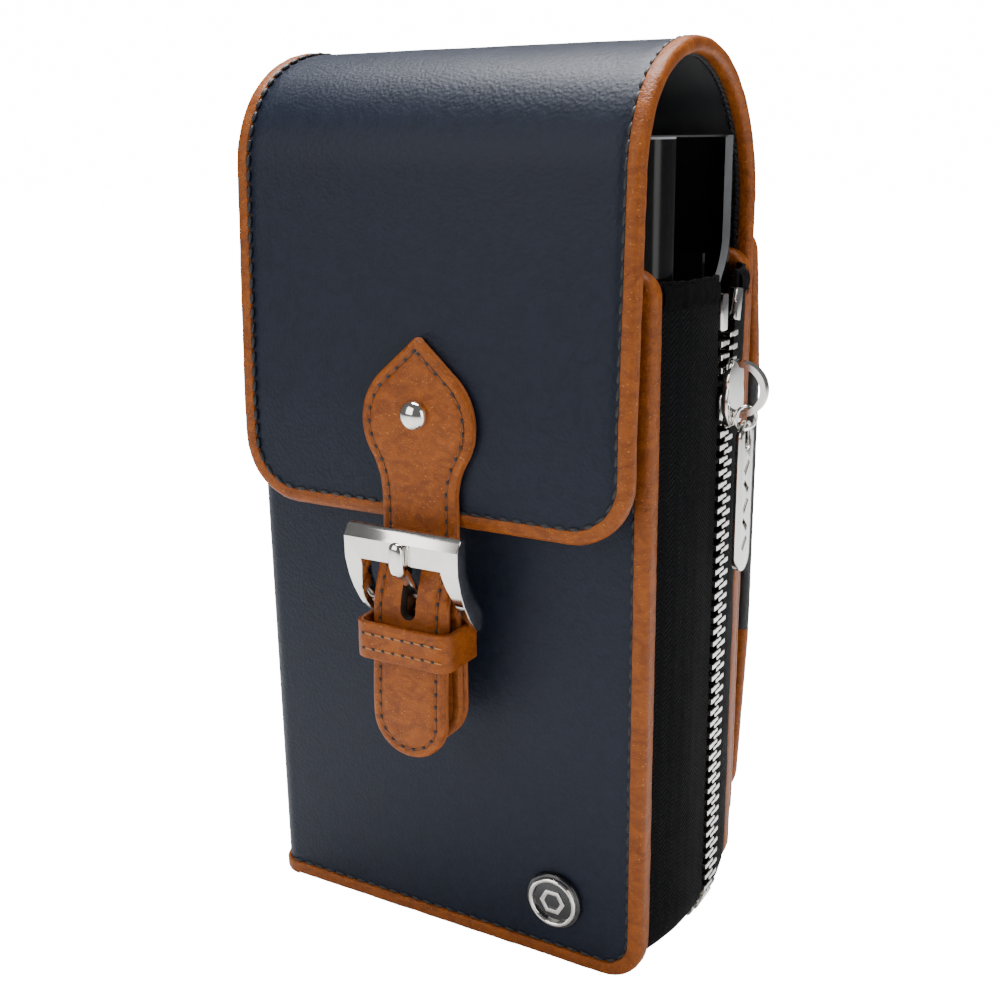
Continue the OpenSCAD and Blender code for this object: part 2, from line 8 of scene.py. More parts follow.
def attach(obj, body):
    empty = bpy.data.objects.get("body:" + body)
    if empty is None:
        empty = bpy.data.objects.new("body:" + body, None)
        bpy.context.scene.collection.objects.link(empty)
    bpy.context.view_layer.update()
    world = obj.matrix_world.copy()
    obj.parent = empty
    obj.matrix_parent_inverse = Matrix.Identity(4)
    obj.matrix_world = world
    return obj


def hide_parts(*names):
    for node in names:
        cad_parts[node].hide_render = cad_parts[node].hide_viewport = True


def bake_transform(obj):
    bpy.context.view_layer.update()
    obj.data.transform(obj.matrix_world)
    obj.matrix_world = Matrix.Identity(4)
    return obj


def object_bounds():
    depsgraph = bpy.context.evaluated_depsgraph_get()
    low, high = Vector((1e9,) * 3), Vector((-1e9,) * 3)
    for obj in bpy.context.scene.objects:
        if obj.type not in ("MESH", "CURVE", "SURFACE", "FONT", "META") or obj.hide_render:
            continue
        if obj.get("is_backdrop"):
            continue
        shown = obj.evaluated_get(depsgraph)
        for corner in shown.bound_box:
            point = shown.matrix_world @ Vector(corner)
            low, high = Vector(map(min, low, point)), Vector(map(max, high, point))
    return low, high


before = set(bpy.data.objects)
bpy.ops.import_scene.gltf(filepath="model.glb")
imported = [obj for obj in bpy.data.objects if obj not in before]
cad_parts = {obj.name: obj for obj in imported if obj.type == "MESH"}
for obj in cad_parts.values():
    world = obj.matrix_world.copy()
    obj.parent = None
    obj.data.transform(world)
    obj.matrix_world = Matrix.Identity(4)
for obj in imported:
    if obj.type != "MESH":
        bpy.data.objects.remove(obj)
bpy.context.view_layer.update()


# ---- Room ----
# A pale table under soft studio light: one broad lamp above that whitens the top
# of the arch, one large lamp on the front and a weaker one on the zip side.
def place_camera():
    data = bpy.data.cameras.new("camera")
    data.lens = 46.95
    data.sensor_width = 36.0
    data.clip_start = 0.01
    data.clip_end = 10.0
    cam = bpy.data.objects.new("camera", data)
    yaw, pitch, roll = math.radians(30.12), math.radians(15.97), math.radians(-0.753)
    cam.matrix_world = (Matrix.Translation((0.13554, -0.23622, 0.16895))
                        @ Matrix.Rotation(yaw, 4, "Z")
                        @ Matrix.Rotation(math.pi / 2 - pitch, 4, "X")
                        @ Matrix.Rotation(roll, 4, "Z"))
    bpy.context.scene.collection.objects.link(cam)
    bpy.context.scene.camera = cam


place_camera()

room_world = bpy.data.worlds.new("room")
room_world.use_nodes = True
room_tree = room_world.node_tree
room_tree.nodes["Background"].inputs["Color"].default_value = (0.95, 0.97, 1.0, 1)
room_tree.nodes["Background"].inputs["Strength"].default_value = 0.16
room_wall = room_tree.nodes.new("ShaderNodeBackground")
room_wall.inputs["Color"].default_value = (1.0, 1.0, 1.0, 1)
room_wall.inputs["Strength"].default_value = 16.0
room_sort, room_ray = room_tree.nodes.new("ShaderNodeMixShader"), room_tree.nodes.new("ShaderNodeLightPath")
room_tree.links.new(room_ray.outputs["Is Camera Ray"], room_sort.inputs[0])
room_tree.links.new(room_tree.nodes["Background"].outputs[0], room_sort.inputs[1])
room_tree.links.new(room_wall.outputs[0], room_sort.inputs[2])
room_tree.links.new(room_sort.outputs[0], room_tree.nodes["World Output"].inputs["Surface"])
bpy.context.scene.world = room_world

for lamp_name, power, size, place, aim, tint in (
        ("lamp_above", 16.0, (0.5, 0.4), (-0.05, 0.12, 0.75), (0.0, 0.0, 0.15), (0.97, 0.98, 1.0)),
        ("lamp_front", 4.5, (0.6, 0.6), (-0.35, -0.75, 0.45), (0.0, 0.0, 0.08), (1.0, 0.98, 0.95)),
        ("lamp_side", 2.6, (0.35, 0.6), (0.75, -0.25, 0.30), (0.0, 0.0, 0.08), (1.0, 0.98, 0.96))):
    lamp_data = bpy.data.lights.new(lamp_name, "AREA")
    lamp_data.shape = "RECTANGLE"
    lamp_data.size, lamp_data.size_y = size
    lamp_data.energy = power
    lamp_data.color = tint
    lamp = bpy.data.objects.new(lamp_name, lamp_data)
    lamp.location = place
    lamp.rotation_euler = (Vector(aim) - Vector(place)).to_track_quat("-Z", "Y").to_euler()
    bpy.context.scene.collection.objects.link(lamp)

table_mesh = bmesh.new()
bmesh.ops.create_grid(table_mesh, x_segments=1, y_segments=1, size=3.0)
table_data = bpy.data.meshes.new("table")
table_mesh.to_mesh(table_data)
table_mesh.free()
table = bpy.data.objects.new("table", table_data)
table.location = (0, 0, -0.0002)
bpy.context.scene.collection.objects.link(table)
table_paint = bpy.data.materials.new("table_paint")
table_paint.use_nodes = True
table_paint.node_tree.nodes["Principled BSDF"].inputs["Base Color"].default_value = (0.88, 0.88, 0.88, 1)
table_paint.node_tree.nodes["Principled BSDF"].inputs["Roughness"].default_value = 0.7
table_paint.node_tree.nodes["Principled BSDF"].inputs["Emission Color"].default_value = (1, 1, 1, 1)
table_ray = table_paint.node_tree.nodes.new("ShaderNodeLightPath")
table_glow = table_paint.node_tree.nodes.new("ShaderNodeMath")
table_glow.operation = "MULTIPLY"
table_glow.inputs[1].default_value = 16.0
table_paint.node_tree.links.new(table_ray.outputs["Is Camera Ray"], table_glow.inputs[0])
table_paint.node_tree.links.new(table_glow.outputs[0],
                                table_paint.node_tree.nodes["Principled BSDF"].inputs["Emission Strength"])
table_data.materials.append(table_paint)
table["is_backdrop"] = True


# ---- Body leather ----
# One sheet of navy pebbled leather covers the front board, turns round the spine
# and covers the rear board. It is 1.2 mm thick and folds at the spine.
def node(tree, kind, **settings):
    made = tree.nodes.new(kind)
    for key, value in settings.items():
        setattr(made, key, value)
    return made


def grain_group():
    """Shader group: raised pebbles and fine pores of finished leather, as a height and a mask."""
    group = bpy.data.node_groups.new("leather_grain", "ShaderNodeTree")
    for label, default in (("Pebble", 1300.0), ("Pore", 5200.0), ("Crease", 0.0)):
        group.interface.new_socket(label, in_out="INPUT",
                                   socket_type="NodeSocketFloat").default_value = default
    group.interface.new_socket("Vector", in_out="INPUT", socket_type="NodeSocketVector")
    for label in ("Height", "Mask", "Fleck"):
        group.interface.new_socket(label, in_out="OUTPUT", socket_type="NodeSocketFloat")
    come, leave = group.nodes.new("NodeGroupInput"), group.nodes.new("NodeGroupOutput")
    pebble = node(group, "ShaderNodeTexVoronoi", feature="SMOOTH_F1")
    pore = node(group, "ShaderNodeTexNoise")
    pore.inputs["Detail"].default_value = 3.0
    fold = node(group, "ShaderNodeTexNoise")
    fold.inputs["Scale"].default_value = 260.0
    fold.inputs["Detail"].default_value = 6.0
    fold.inputs["Distortion"].default_value = 1.2
    for tex in (pebble, pore, fold):
        group.links.new(come.outputs["Vector"], tex.inputs["Vector"])
    group.links.new(come.outputs["Pebble"], pebble.inputs["Scale"])
    group.links.new(come.outputs["Pore"], pore.inputs["Scale"])
    half = node(group, "ShaderNodeMath", operation="MULTIPLY_ADD")
    group.links.new(pore.outputs["Fac"], half.inputs[0])
    half.inputs[1].default_value = 0.45
    group.links.new(pebble.outputs["Distance"], half.inputs[2])
    full = node(group, "ShaderNodeMath", operation="MULTIPLY_ADD")
    group.links.new(fold.outputs["Fac"], full.inputs[0])
    group.links.new(come.outputs["Crease"], full.inputs[1])
    group.links.new(half.outputs[0], full.inputs[2])
    group.links.new(full.outputs[0], leave.inputs["Height"])
    group.links.new(fold.outputs["Fac"], leave.inputs["Mask"])
    spot = node(group, "ShaderNodeTexNoise")
    spot.inputs["Scale"].default_value = 2300.0
    spot.inputs["Detail"].default_value = 1.0
    group.links.new(come.outputs["Vector"], spot.inputs["Vector"])
    pick = node(group, "ShaderNodeMapRange")
    pick.inputs["From Min"].default_value = 0.69
    pick.inputs["From Max"].default_value = 0.76
    group.links.new(spot.outputs["Fac"], pick.inputs["Value"])
    group.links.new(pick.outputs["Result"], leave.inputs["Fleck"])
    return group


leather_grain = grain_group()


def leather(name, dark, light, rough, pebble, pore, crease, depth, coat=0.0, stretch=(1, 1, 1),
            spread=(0.35, 0.65),
            fleck=None, turned=(0, 0, 0)):
    """Finished leather: two shades mixed by a cloudy mask, with pebbled relief."""
    made = bpy.data.materials.new(name)
    made.use_nodes = True
    tree = made.node_tree
    skin = tree.nodes["Principled BSDF"]
    where = node(tree, "ShaderNodeTexCoord")
    turn = node(tree, "ShaderNodeMapping")
    turn.inputs["Scale"].default_value = stretch
    turn.inputs["Rotation"].default_value = turned
    tree.links.new(where.outputs["Object"], turn.inputs["Vector"])
    grain = node(tree, "ShaderNodeGroup", node_tree=leather_grain)
    grain.inputs["Pebble"].default_value = pebble
    grain.inputs["Pore"].default_value = pore
    grain.inputs["Crease"].default_value = crease
    tree.links.new(turn.outputs["Vector"], grain.inputs["Vector"])
    shade = node(tree, "ShaderNodeValToRGB")
    shade.color_ramp.elements[0].position = spread[0]
    shade.color_ramp.elements[1].position = spread[1]
    shade.color_ramp.elements[0].color = (*dark, 1)
    shade.color_ramp.elements[1].color = (*light, 1)
    tree.links.new(grain.outputs["Mask"], shade.inputs["Fac"])
    colour = shade.outputs["Color"]
    if fleck:
        mix = node(tree, "ShaderNodeMix", data_type="RGBA")
        mix.inputs["B"].default_value = (1, 1, 1, 1)
        for socket in mix.inputs:
            if socket.name == "B" and socket.type == "RGBA":
                socket.default_value = (*fleck, 1)
            if socket.name == "A" and socket.type == "RGBA":
                tree.links.new(colour, socket)
        tree.links.new(grain.outputs["Fleck"], mix.inputs["Factor"])
        colour = [socket for socket in mix.outputs if socket.type == "RGBA"][0]
    tree.links.new(colour, skin.inputs["Base Color"])
    bump = node(tree, "ShaderNodeBump")
    bump.inputs["Strength"].default_value = 1.0
    bump.inputs["Distance"].default_value = depth
    tree.links.new(grain.outputs["Height"], bump.inputs["Height"])
    tree.links.new(bump.outputs["Normal"], skin.inputs["Normal"])
    wear = node(tree, "ShaderNodeMapRange")
    wear.inputs["To Min"].default_value = rough - 0.06
    wear.inputs["To Max"].default_value = rough + 0.08
    tree.links.new(grain.outputs["Mask"], wear.inputs["Value"])
    tree.links.new(wear.outputs["Result"], skin.inputs["Roughness"])
    skin.inputs["Coat Weight"].default_value = coat
    skin.inputs["Coat Roughness"].default_value = 0.35
    skin.inputs["Specular IOR Level"].default_value = 0.2
    return made


navy_leather = leather("navy_leather", (0.0040, 0.0068, 0.0160), (0.0056, 0.0092, 0.0205), 0.44, 1500.0,
                       5200.0, 0.4, 0.00007)


def rounded_sheet(x0, x1, z0, z1, low_left=0.0, low_right=0.0, top_right=0.0, top_left=0.0, segments=10):
    """A flat sheet in x and z, in mm, with its own radius at each corner."""
    bm = bmesh.new()
    corners = [bm.verts.new((x, 0, z)) for x, z in ((x0, z0), (x1, z0), (x1, z1), (x0, z1))]
    bm.faces.new(corners)
    for corner, radius in zip(corners, (low_left, low_right, top_right, top_left)):
        if radius > 0:
            bmesh.ops.bevel(bm, geom=[corner], offset=radius, offset_type="OFFSET", affect="VERTICES",
                            segments=segments, profile=0.5, material=-1)
    return bm


def cut_across(bm, axis, places):
    """Adds a line of vertices across the piece at each place along an axis."""
    normal = Vector((axis == 0, axis == 1, axis == 2))
    for place in places:
        bmesh.ops.bisect_plane(bm, geom=bm.verts[:] + bm.edges[:] + bm.faces[:], plane_co=normal * place,
                               plane_no=normal, dist=0.001)


def steps(start, end, count):
    return [start + (end - start) * i / count for i in range(1, count)]


def make_piece(bm, name, material, body=None, replaces=(), smooth=40.0, turn=True, edge=None):
    """Turns a mesh in mm into a finished object in metres that rides on a body."""
    bmesh.ops.remove_doubles(bm, verts=bm.verts, dist=0.0005)
    if turn:
        bmesh.ops.recalc_face_normals(bm, faces=bm.faces)
    bmesh.ops.scale(bm, vec=(0.001, 0.001, 0.001), verts=bm.verts)
    data = bpy.data.meshes.new(name)
    bm.to_mesh(data)
    bm.free()
    data.shade_smooth()
    data.set_sharp_from_angle(angle=math.radians(smooth))
    data.materials.append(material)
    if edge:
        data.materials.append(edge)
    obj = bpy.data.objects.new(name, data)
    bpy.context.scene.collection.objects.link(obj)
    if replaces:
        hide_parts(*replaces)
    if body:
        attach(obj, body)
    return obj


# length of leather from the right edge of the front to the middle of the spine
SPINE_R = 5.0
FRONT_RUN = 44.3 + 43.0
SPINE_TURN = SPINE_R * math.pi / 2


def round_the_spine(u, depth):
    """Place of a point that lies u mm along the sheet from the front's right edge, depth mm inside it."""
    r = SPINE_R - depth
    if u < FRONT_RUN:
        return 44.3 - u, -25.0 + depth
    u -= FRONT_RUN
    if u < SPINE_TURN:
        a = u / SPINE_R
        return -43.0 - r * math.sin(a), -20.0 - r * math.cos(a)
    u -= SPINE_TURN
    if u < 39.2:
        return -48.0 + depth, -20.0 + u
    u -= 39.2
    if u < SPINE_TURN:
        a = u / SPINE_R
        return -43.0 - r * math.cos(a), 19.2 + r * math.sin(a)
    u -= SPINE_TURN
    return -43.0 + u, 24.2 - depth


LEATHER_RUN = FRONT_RUN * 2 + SPINE_TURN * 2 + 39.2
bm = rounded_sheet(0, LEATHER_RUN, 0.7, 143.8, 8.3, 8.3, 4.3, 4.3)
cut_across(bm, 0, steps(2, FRONT_RUN, 14) + steps(FRONT_RUN, FRONT_RUN + SPINE_TURN, 10)
           + [FRONT_RUN, FRONT_RUN + SPINE_TURN, FRONT_RUN + SPINE_TURN + 39.2,
              FRONT_RUN + 2 * SPINE_TURN + 39.2]
           + steps(FRONT_RUN + SPINE_TURN, FRONT_RUN + SPINE_TURN + 39.2, 12)
           + steps(FRONT_RUN + SPINE_TURN + 39.2, FRONT_RUN + 2 * SPINE_TURN + 39.2, 10)
           + steps(LEATHER_RUN - FRONT_RUN, LEATHER_RUN - 2, 14))
cut_across(bm, 2, steps(1, 143.5, 20))
bmesh.ops.solidify(bm, geom=bm.faces[:], thickness=1.2)
for v in bm.verts:
    v.co.x, v.co.y = round_the_spine(v.co.x, abs(v.co.y))
body_leather = make_piece(bm, "body_leather", navy_leather,
                          replaces=("front_skin", "spine_front", "spine_rear", "back_skin"))
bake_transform(body_leather)


# ---- Panel bindings ----
# Strips of tan leather folded over the edges of the front and rear panels and
# sewn through just inside their inner edge. They run round the foot of the spine.
tan_leather = leather("tan_leather", (0.15, 0.034, 0.0018), (0.26, 0.066, 0.0040), 0.46, 2400.0, 6000.0, 1.8,
                      0.00010,
                      coat=0.06, stretch=(1, 1, 1.5), spread=(0.30, 0.70), fleck=(0.50, 0.20, 0.04),
                      turned=(0.0, 0.5, 0.0))


def edge_binding(sheet, width, thick, outer_round, inner_round):
    """Turns a flat sheet into the ring of leather folded over its edge, thick mm through, outer face at y 0."""
    rim = {(round(v.co.x, 2), round(v.co.z, 2)) for v in sheet.verts}
    face = sheet.faces[:]
    bmesh.ops.inset_region(sheet, faces=face, thickness=width, use_boundary=True, use_even_offset=True)
    bmesh.ops.delete(sheet, geom=face, context="FACES")
    bmesh.ops.solidify(sheet, geom=sheet.faces[:], thickness=thick)
    bmesh.ops.recalc_face_normals(sheet, faces=sheet.faces)
    low = min(v.co.y for v in sheet.verts)
    bmesh.ops.translate(sheet, vec=(0, -low, 0), verts=sheet.verts)
    on_rim = {v: (round(v.co.x, 2), round(v.co.z, 2)) in rim for v in sheet.verts}
    sharp = [e for e in sheet.edges if e.is_manifold and e.calc_face_angle() > 0.9]
    outer = [e for e in sharp if on_rim[e.verts[0]] and on_rim[e.verts[1]]]
    inner = [e for e in sharp if not on_rim[e.verts[0]] and not on_rim[e.verts[1]]]
    bmesh.ops.bevel(sheet, geom=outer, offset=outer_round, offset_type="OFFSET", affect="EDGES", segments=4,
                    profile=0.5, material=-1)
    bmesh.ops.bevel(sheet, geom=[e for e in inner if e.is_valid], offset=inner_round, offset_type="OFFSET",
                    affect="EDGES", segments=2, profile=0.5, material=-1)
    return sheet


def keep_side(bm, axis, place, above):
    """Cuts the mesh on a plane across an axis, keeps one side and closes the cut."""
    normal = Vector((axis == 0, axis == 1, axis == 2))
    bmesh.ops.bisect_plane(bm, geom=bm.verts[:] + bm.edges[:] + bm.faces[:], plane_co=normal * place,
                           plane_no=normal, dist=0.0001, clear_inner=above, clear_outer=not above)
    bmesh.ops.holes_fill(bm, edges=[e for e in bm.edges if e.is_boundary], sides=0)


def join_into(target, other):
    """Adds a second mesh to the first."""
    data = bpy.data.meshes.new("join")
    other.to_mesh(data)
    other.free()
    target.from_mesh(data)
    bpy.data.meshes.remove(data)


def roughen(bm, amount, size, seed=0.0):
    """Shifts every vertex a little, smoothly from place to place, as hand-cut leather lies."""
    # the offset of noise_vector comes from the clock unless it is seeded
    noise.seed_set(7)
    for v in bm.verts:
        v.co += noise.noise_vector((v.co + Vector((seed, 0, 0))) / size) * amount


def panel_binding_ring(y_face, outward):
    """Binding of one panel in place: y_face is its outermost plane, outward is -1 for the front."""
    ring = edge_binding(rounded_sheet(-60, 45, 0, 144.5, 0, 9, 5, 0), 3.3, 4.6, 1.4, 0.4)
    keep_side(ring, 0, -43, True)
    cut_across(ring, 2, steps(10, 138, 60))
    cut_across(ring, 0, steps(-43, 36, 36))
    roughen(ring, 0.10, 3.0, y_face)
    if outward > 0:
        bmesh.ops.scale(ring, vec=(1, -1, 1), verts=ring.verts)
    bmesh.ops.translate(ring, vec=(0, y_face, 0), verts=ring.verts)
    return ring


def spine_foot(face, side):
    """Binding carried a quarter turn round the foot of the spine."""
    strip = bmesh.new()
    ring = [strip.verts.new((0, r, z)) for r,
            z in ((3.7, 0.9), (3.7, 0.0), (5.0, 0.0), (5.5, 0.3), (5.7, 0.9), (5.7, 2.8),
                                                    (5.5, 3.2), (5.05, 3.3), (5.05, 0.9))]
    strip.faces.new(ring)
    bmesh.ops.spin(strip, geom=strip.faces[:], cent=(0, 0, 0), axis=(0, 0, 1), angle=math.pi / 2, steps=12)
    if side < 0:
        bmesh.ops.rotate(strip, verts=strip.verts, cent=(0, 0, 0),
                         matrix=Matrix.Rotation(math.pi / 2, 3, "Z"))
    bmesh.ops.translate(strip, vec=(-43, side * (face - 5), 0), verts=strip.verts)
    bmesh.ops.recalc_face_normals(strip, faces=strip.faces)
    return strip


for side, y_face, half, body, names in (
        (-1, -25.7, 25.0, "front_cover", ("front_binding",)), (1, 24.9, 24.2, "case", ("back_binding",))):
    ring = panel_binding_ring(y_face, side)
    join_into(ring, spine_foot(half, side))
    make_piece(ring, "binding_front" if side < 0 else "binding_rear", tan_leather, body, names)


# ---- Panel stitching ----
# Black waxed thread that holds the bindings, one slanted stitch about every 3 mm,
# drawn a little into the leather along the inner edge of the binding.
def plain(name, colour, rough, metallic=0.0, grain=2500.0, depth=0.00002, coat=0.0, vary=0.08, gloss=0.5):
    """A finish with a fine even grain in its colour, gloss and relief."""
    made = bpy.data.materials.new(name)
    made.use_nodes = True
    tree = made.node_tree
    skin = tree.nodes["Principled BSDF"]
    where = node(tree, "ShaderNodeTexCoord")
    cloud = node(tree, "ShaderNodeTexNoise")
    cloud.inputs["Scale"].default_value = grain
    cloud.inputs["Detail"].default_value = 4.0
    tree.links.new(where.outputs["Object"], cloud.inputs["Vector"])
    shade = node(tree, "ShaderNodeValToRGB")
    shade.color_ramp.elements[0].position = 0.3
    shade.color_ramp.elements[1].position = 0.7
    shade.color_ramp.elements[0].color = (*[c * (1 - vary * 2) for c in colour], 1)
    shade.color_ramp.elements[1].color = (*[min(1, c * (1 + vary)) for c in colour], 1)
    tree.links.new(cloud.outputs["Fac"], shade.inputs["Fac"])
    tree.links.new(shade.outputs["Color"], skin.inputs["Base Color"])
    wear = node(tree, "ShaderNodeMapRange")
    wear.inputs["To Min"].default_value = rough * 0.85
    wear.inputs["To Max"].default_value = rough * 1.2
    tree.links.new(cloud.outputs["Fac"], wear.inputs["Value"])
    tree.links.new(wear.outputs["Result"], skin.inputs["Roughness"])
    bump = node(tree, "ShaderNodeBump")
    bump.inputs["Distance"].default_value = depth
    tree.links.new(cloud.outputs["Fac"], bump.inputs["Height"])
    tree.links.new(bump.outputs["Normal"], skin.inputs["Normal"])
    skin.inputs["Metallic"].default_value = metallic
    skin.inputs["Coat Weight"].default_value = coat
    skin.inputs["Specular IOR Level"].default_value = gloss
    return made


# black thread, also used for the painted shade in the stitch holes of the strap and keeper
black_thread_and_hole_shade = plain("black_thread_and_hole_shade", (0.006, 0.006, 0.008), 0.5, grain=6000.0)


def outline_of(sheet, inset=0.0):
    """Corner points of a one-face sheet in order, pulled in by inset mm. It uses the sheet up."""
    face = sheet.faces[:]
    if inset > 0:
        bmesh.ops.inset_region(sheet, faces=face, thickness=inset, use_boundary=True, use_even_offset=True)
    points = [v.co.copy() for v in face[0].verts]
    sheet.free()
    return points


def walk(points, pitch, closed=True):
    """Evenly spaced places along a line of points, each with its direction."""
    line = points + [points[0]] if closed else points
    lengths = [(b - a).length for a, b in zip(line, line[1:])]
    count = max(2, round(sum(lengths) / pitch))
    step, found, seen, i = sum(lengths) / count, [], 0.0, 0
    for k in range(count):
        at = (k + 0.5) * step
        while i < len(lengths) - 1 and seen + lengths[i] < at:
            seen += lengths[i]
            i += 1
        way = (line[i + 1] - line[i]).normalized()
        found.append((line[i] + way * (at - seen), way))
    return found


def add_stitch(bm, place, way, length, thick, slant=0.0, detail=1):
    """One stitch, or the painted shade of a stitch hole: a bead drawn out along the seam."""
    turn = way.rotation_difference(Vector((1, 0, 0))).inverted().to_matrix().to_4x4()
    spin = Matrix.Rotation(slant, 4, "Y")
    shape = Matrix.Diagonal((length / 2, thick, thick, 1))
    bmesh.ops.create_icosphere(bm, subdivisions=detail, radius=1.0,
                               matrix=Matrix.Translation(place) @ turn @ spin @ shape)


seam = bmesh.new()
for place, way in walk(outline_of(rounded_sheet(-60, 45, 0, 144.5, 0, 9, 5, 0), 3.55), 3.0):
    if place.x > -44:
        add_stitch(seam, Vector((place.x, -25.0, place.z)), way, 2.5, 0.42, 0.12, 2)
make_piece(seam, "stitches_front", black_thread_and_hole_shade, "front_cover")


# ---- Flap ----
# One piece of navy leather lined with ribbed fabric. It covers the back, turns over
# the arch and comes down the front.
FLAP_PARTS = (21.5, 44.395, 23 * math.pi / 3, 62 * math.pi / 3, 145.4)
FLAP_RUN = sum(FLAP_PARTS)


def flap_place(s, depth):
    """y and z of the point s mm along the flap from its front edge, depth mm under its binding's outer face."""
    if s < FLAP_PARTS[0]:
        return -32.5 + depth, 94.5 + s
    s -= FLAP_PARTS[0]
    if s < FLAP_PARTS[1]:
        t = s / FLAP_PARTS[1]
        return -32.5 + 2.4 * t + depth, 116 + 44.33 * t
    s -= FLAP_PARTS[1]
    if s < FLAP_PARTS[2]:
        a = math.pi - s / 23
        return -7.1 + (23 - depth) * math.cos(a), 160.33 + (23 - depth) * math.sin(a)
    s -= FLAP_PARTS[2]
    if s < FLAP_PARTS[3]:
        a = math.pi * 2 / 3 - s / 31
        return -3.1 + (31 - depth) * math.cos(a), 153.4 + (31 - depth) * math.sin(a)
    return 27.9 - depth, 153.4 - (s - FLAP_PARTS[3])


def wrap_flap(bm):
    """Bends a flat mesh (x, depth, run) over the arch."""
    for v in bm.verts:
        v.co.y, v.co.z = flap_place(v.co.z, v.co.y)
    return bm


def hang_flap(obj):
    """Bakes the piece's placement into its mesh; it rides on no body."""
    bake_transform(obj)


FLAP_CUTS = steps(1, 66, 26) + steps(65.5, 155.5, 64) + steps(155.5, 299.5, 40)
bm = rounded_sheet(-43.8, 43.8, 0.5, FLAP_RUN - 0.5, 12.5, 12.5, 8.5, 8.5)
cut_across(bm, 2, FLAP_CUTS)
cut_across(bm, 0, steps(-38, 38, 20) + [s * x for s in (-1, 1) for x in (38, 39.2, 40.0, 40.6, 41.2, 42)])
bmesh.ops.solidify(bm, geom=bm.faces[:], thickness=1.3)
for v in bm.verts:
    inside = 44.3 - abs(v.co.x)
    top = abs(v.co.y) < 0.1
    v.co.y = 0.4 + abs(v.co.y)
    if top:
        v.co.y += 0.30 * math.exp(-((inside - 3.5) / 0.7) ** 2) + 0.10 * noise.noise(v.co / 16)
flap_leather = make_piece(wrap_flap(bm), "flap_leather", navy_leather,
                          replaces=("flap_skin", "flap_back_skin"))
hang_flap(flap_leather)


# ---- Flap lining ----
# Black ribbed fabric glued inside the flap; its ribs run over the arch.
def ribbed(name, colour, rough, pitch, axis, depth, fuzz=0.3):
    """Fabric with fine ribs spaced along one axis and a fuzzy surface."""
    made = plain(name, colour, rough, grain=9000.0, gloss=0.12)
    tree = made.node_tree
    skin = tree.nodes["Principled BSDF"]
    where = tree.nodes["Texture Coordinate"]
    ribs = node(tree, "ShaderNodeTexWave", wave_type="BANDS", bands_direction=axis, wave_profile="SIN")
    ribs.inputs["Scale"].default_value = 1000.0 / pitch * 0.314
    ribs.inputs["Distortion"].default_value = 1.5
    ribs.inputs["Detail"].default_value = 2.0
    ribs.inputs["Detail Scale"].default_value = 3.0
    tree.links.new(where.outputs["Object"], ribs.inputs["Vector"])
    second = node(tree, "ShaderNodeBump")
    second.inputs["Distance"].default_value = depth
    tree.links.new(ribs.outputs["Fac"], second.inputs["Height"])
    tree.links.new(tree.nodes["Bump"].outputs["Normal"], second.inputs["Normal"])
    tree.links.new(second.outputs["Normal"], skin.inputs["Normal"])
    skin.inputs["Sheen Weight"].default_value = fuzz
    skin.inputs["Sheen Roughness"].default_value = 0.4
    return made


black_ribbed = ribbed("black_ribbed", (0.004, 0.005, 0.008), 0.75, 0.05, "X", 0.00022)
bm = rounded_sheet(-43.6, 43.6, 0.7, FLAP_RUN - 0.7, 12.3, 12.3, 8.3, 8.3)
cut_across(bm, 2, FLAP_CUTS)
bmesh.ops.solidify(bm, geom=bm.faces[:], thickness=0.88)
for v in bm.verts:
    v.co.y = 1.71 + abs(v.co.y)
flap_inner = make_piece(wrap_flap(bm), "flap_inner", black_ribbed,
                        replaces=("flap_lining", "flap_back_lining"))
hang_flap(flap_inner)


# ---- Flap binding ----
# The same tan strip folded over the whole edge of the flap, sewn with black thread
# outside and bound inside the arch by a rope-like row of oversewn stitches.
ring = edge_binding(rounded_sheet(-44.3, 44.3, 0, FLAP_RUN, 13, 13, 9, 9), 3.0, 3.0, 1.3, 0.4)
cut_across(ring, 2, FLAP_CUTS + steps(0, 300, 160))
cut_across(ring, 0, steps(-30, 30, 26))
roughen(ring, 0.09, 2.6, 7.0)
flap_edge = make_piece(wrap_flap(ring), "flap_edge", tan_leather,
                       replaces=("flap_binding", "flap_back_binding"))
hang_flap(flap_edge)

seam = bmesh.new()
for place, way in walk(outline_of(rounded_sheet(-44.3, 44.3, 0, FLAP_RUN, 13, 13, 9, 9), 3.2), 3.0):
    add_stitch(seam, Vector((place.x, 0.35, place.z)), way, 2.5, 0.42, 0.12, 2)
flap_stitches = make_piece(wrap_flap(seam), "flap_stitches", black_thread_and_hole_shade)
hang_flap(flap_stitches)

rope = bmesh.new()
for side in (-1, 1):
    for k in range(150):
        way = Vector((0, 0, 1))
        add_stitch(rope, Vector((side * 40.9, 2.9, 20 + k * 1.6)), way, 2.3, 0.55, 0.5 * side, 1)
flap_rope = make_piece(wrap_flap(rope), "flap_rope", black_thread_and_hole_shade)
hang_flap(flap_rope)


# ---- Belt panel ----
# Navy leather sewn to the back above and below, standing off between as a tunnel
# for a belt. Tan binding above and below, black woven edging along the tunnel.
def belt_face(z):
    """Outer face of the belt panel at a height."""
    if z > 117:
        return 36.8 - 5.4 * (z - 117) / 33
    if z < 57:
        return 36.8 - 5.4 * (57 - z) / 44
    return 36.8


def wrap_belt(bm):
    """Bends a flat mesh (x, depth, z) to the belt panel's side view."""
    for v in bm.verts:
        y = sum(belt_face(v.co.z + d) for d in (-3, -1.5, 0, 1.5, 3)) / 5
        v.co.y = y - v.co.y
    return bm


def belt_sheet(inset):
    return rounded_sheet(-43.7 + inset, 43.7 - inset, 14 + inset, 149 - inset, 9 - inset, 9 - inset,
                         6 - inset, 6 - inset)


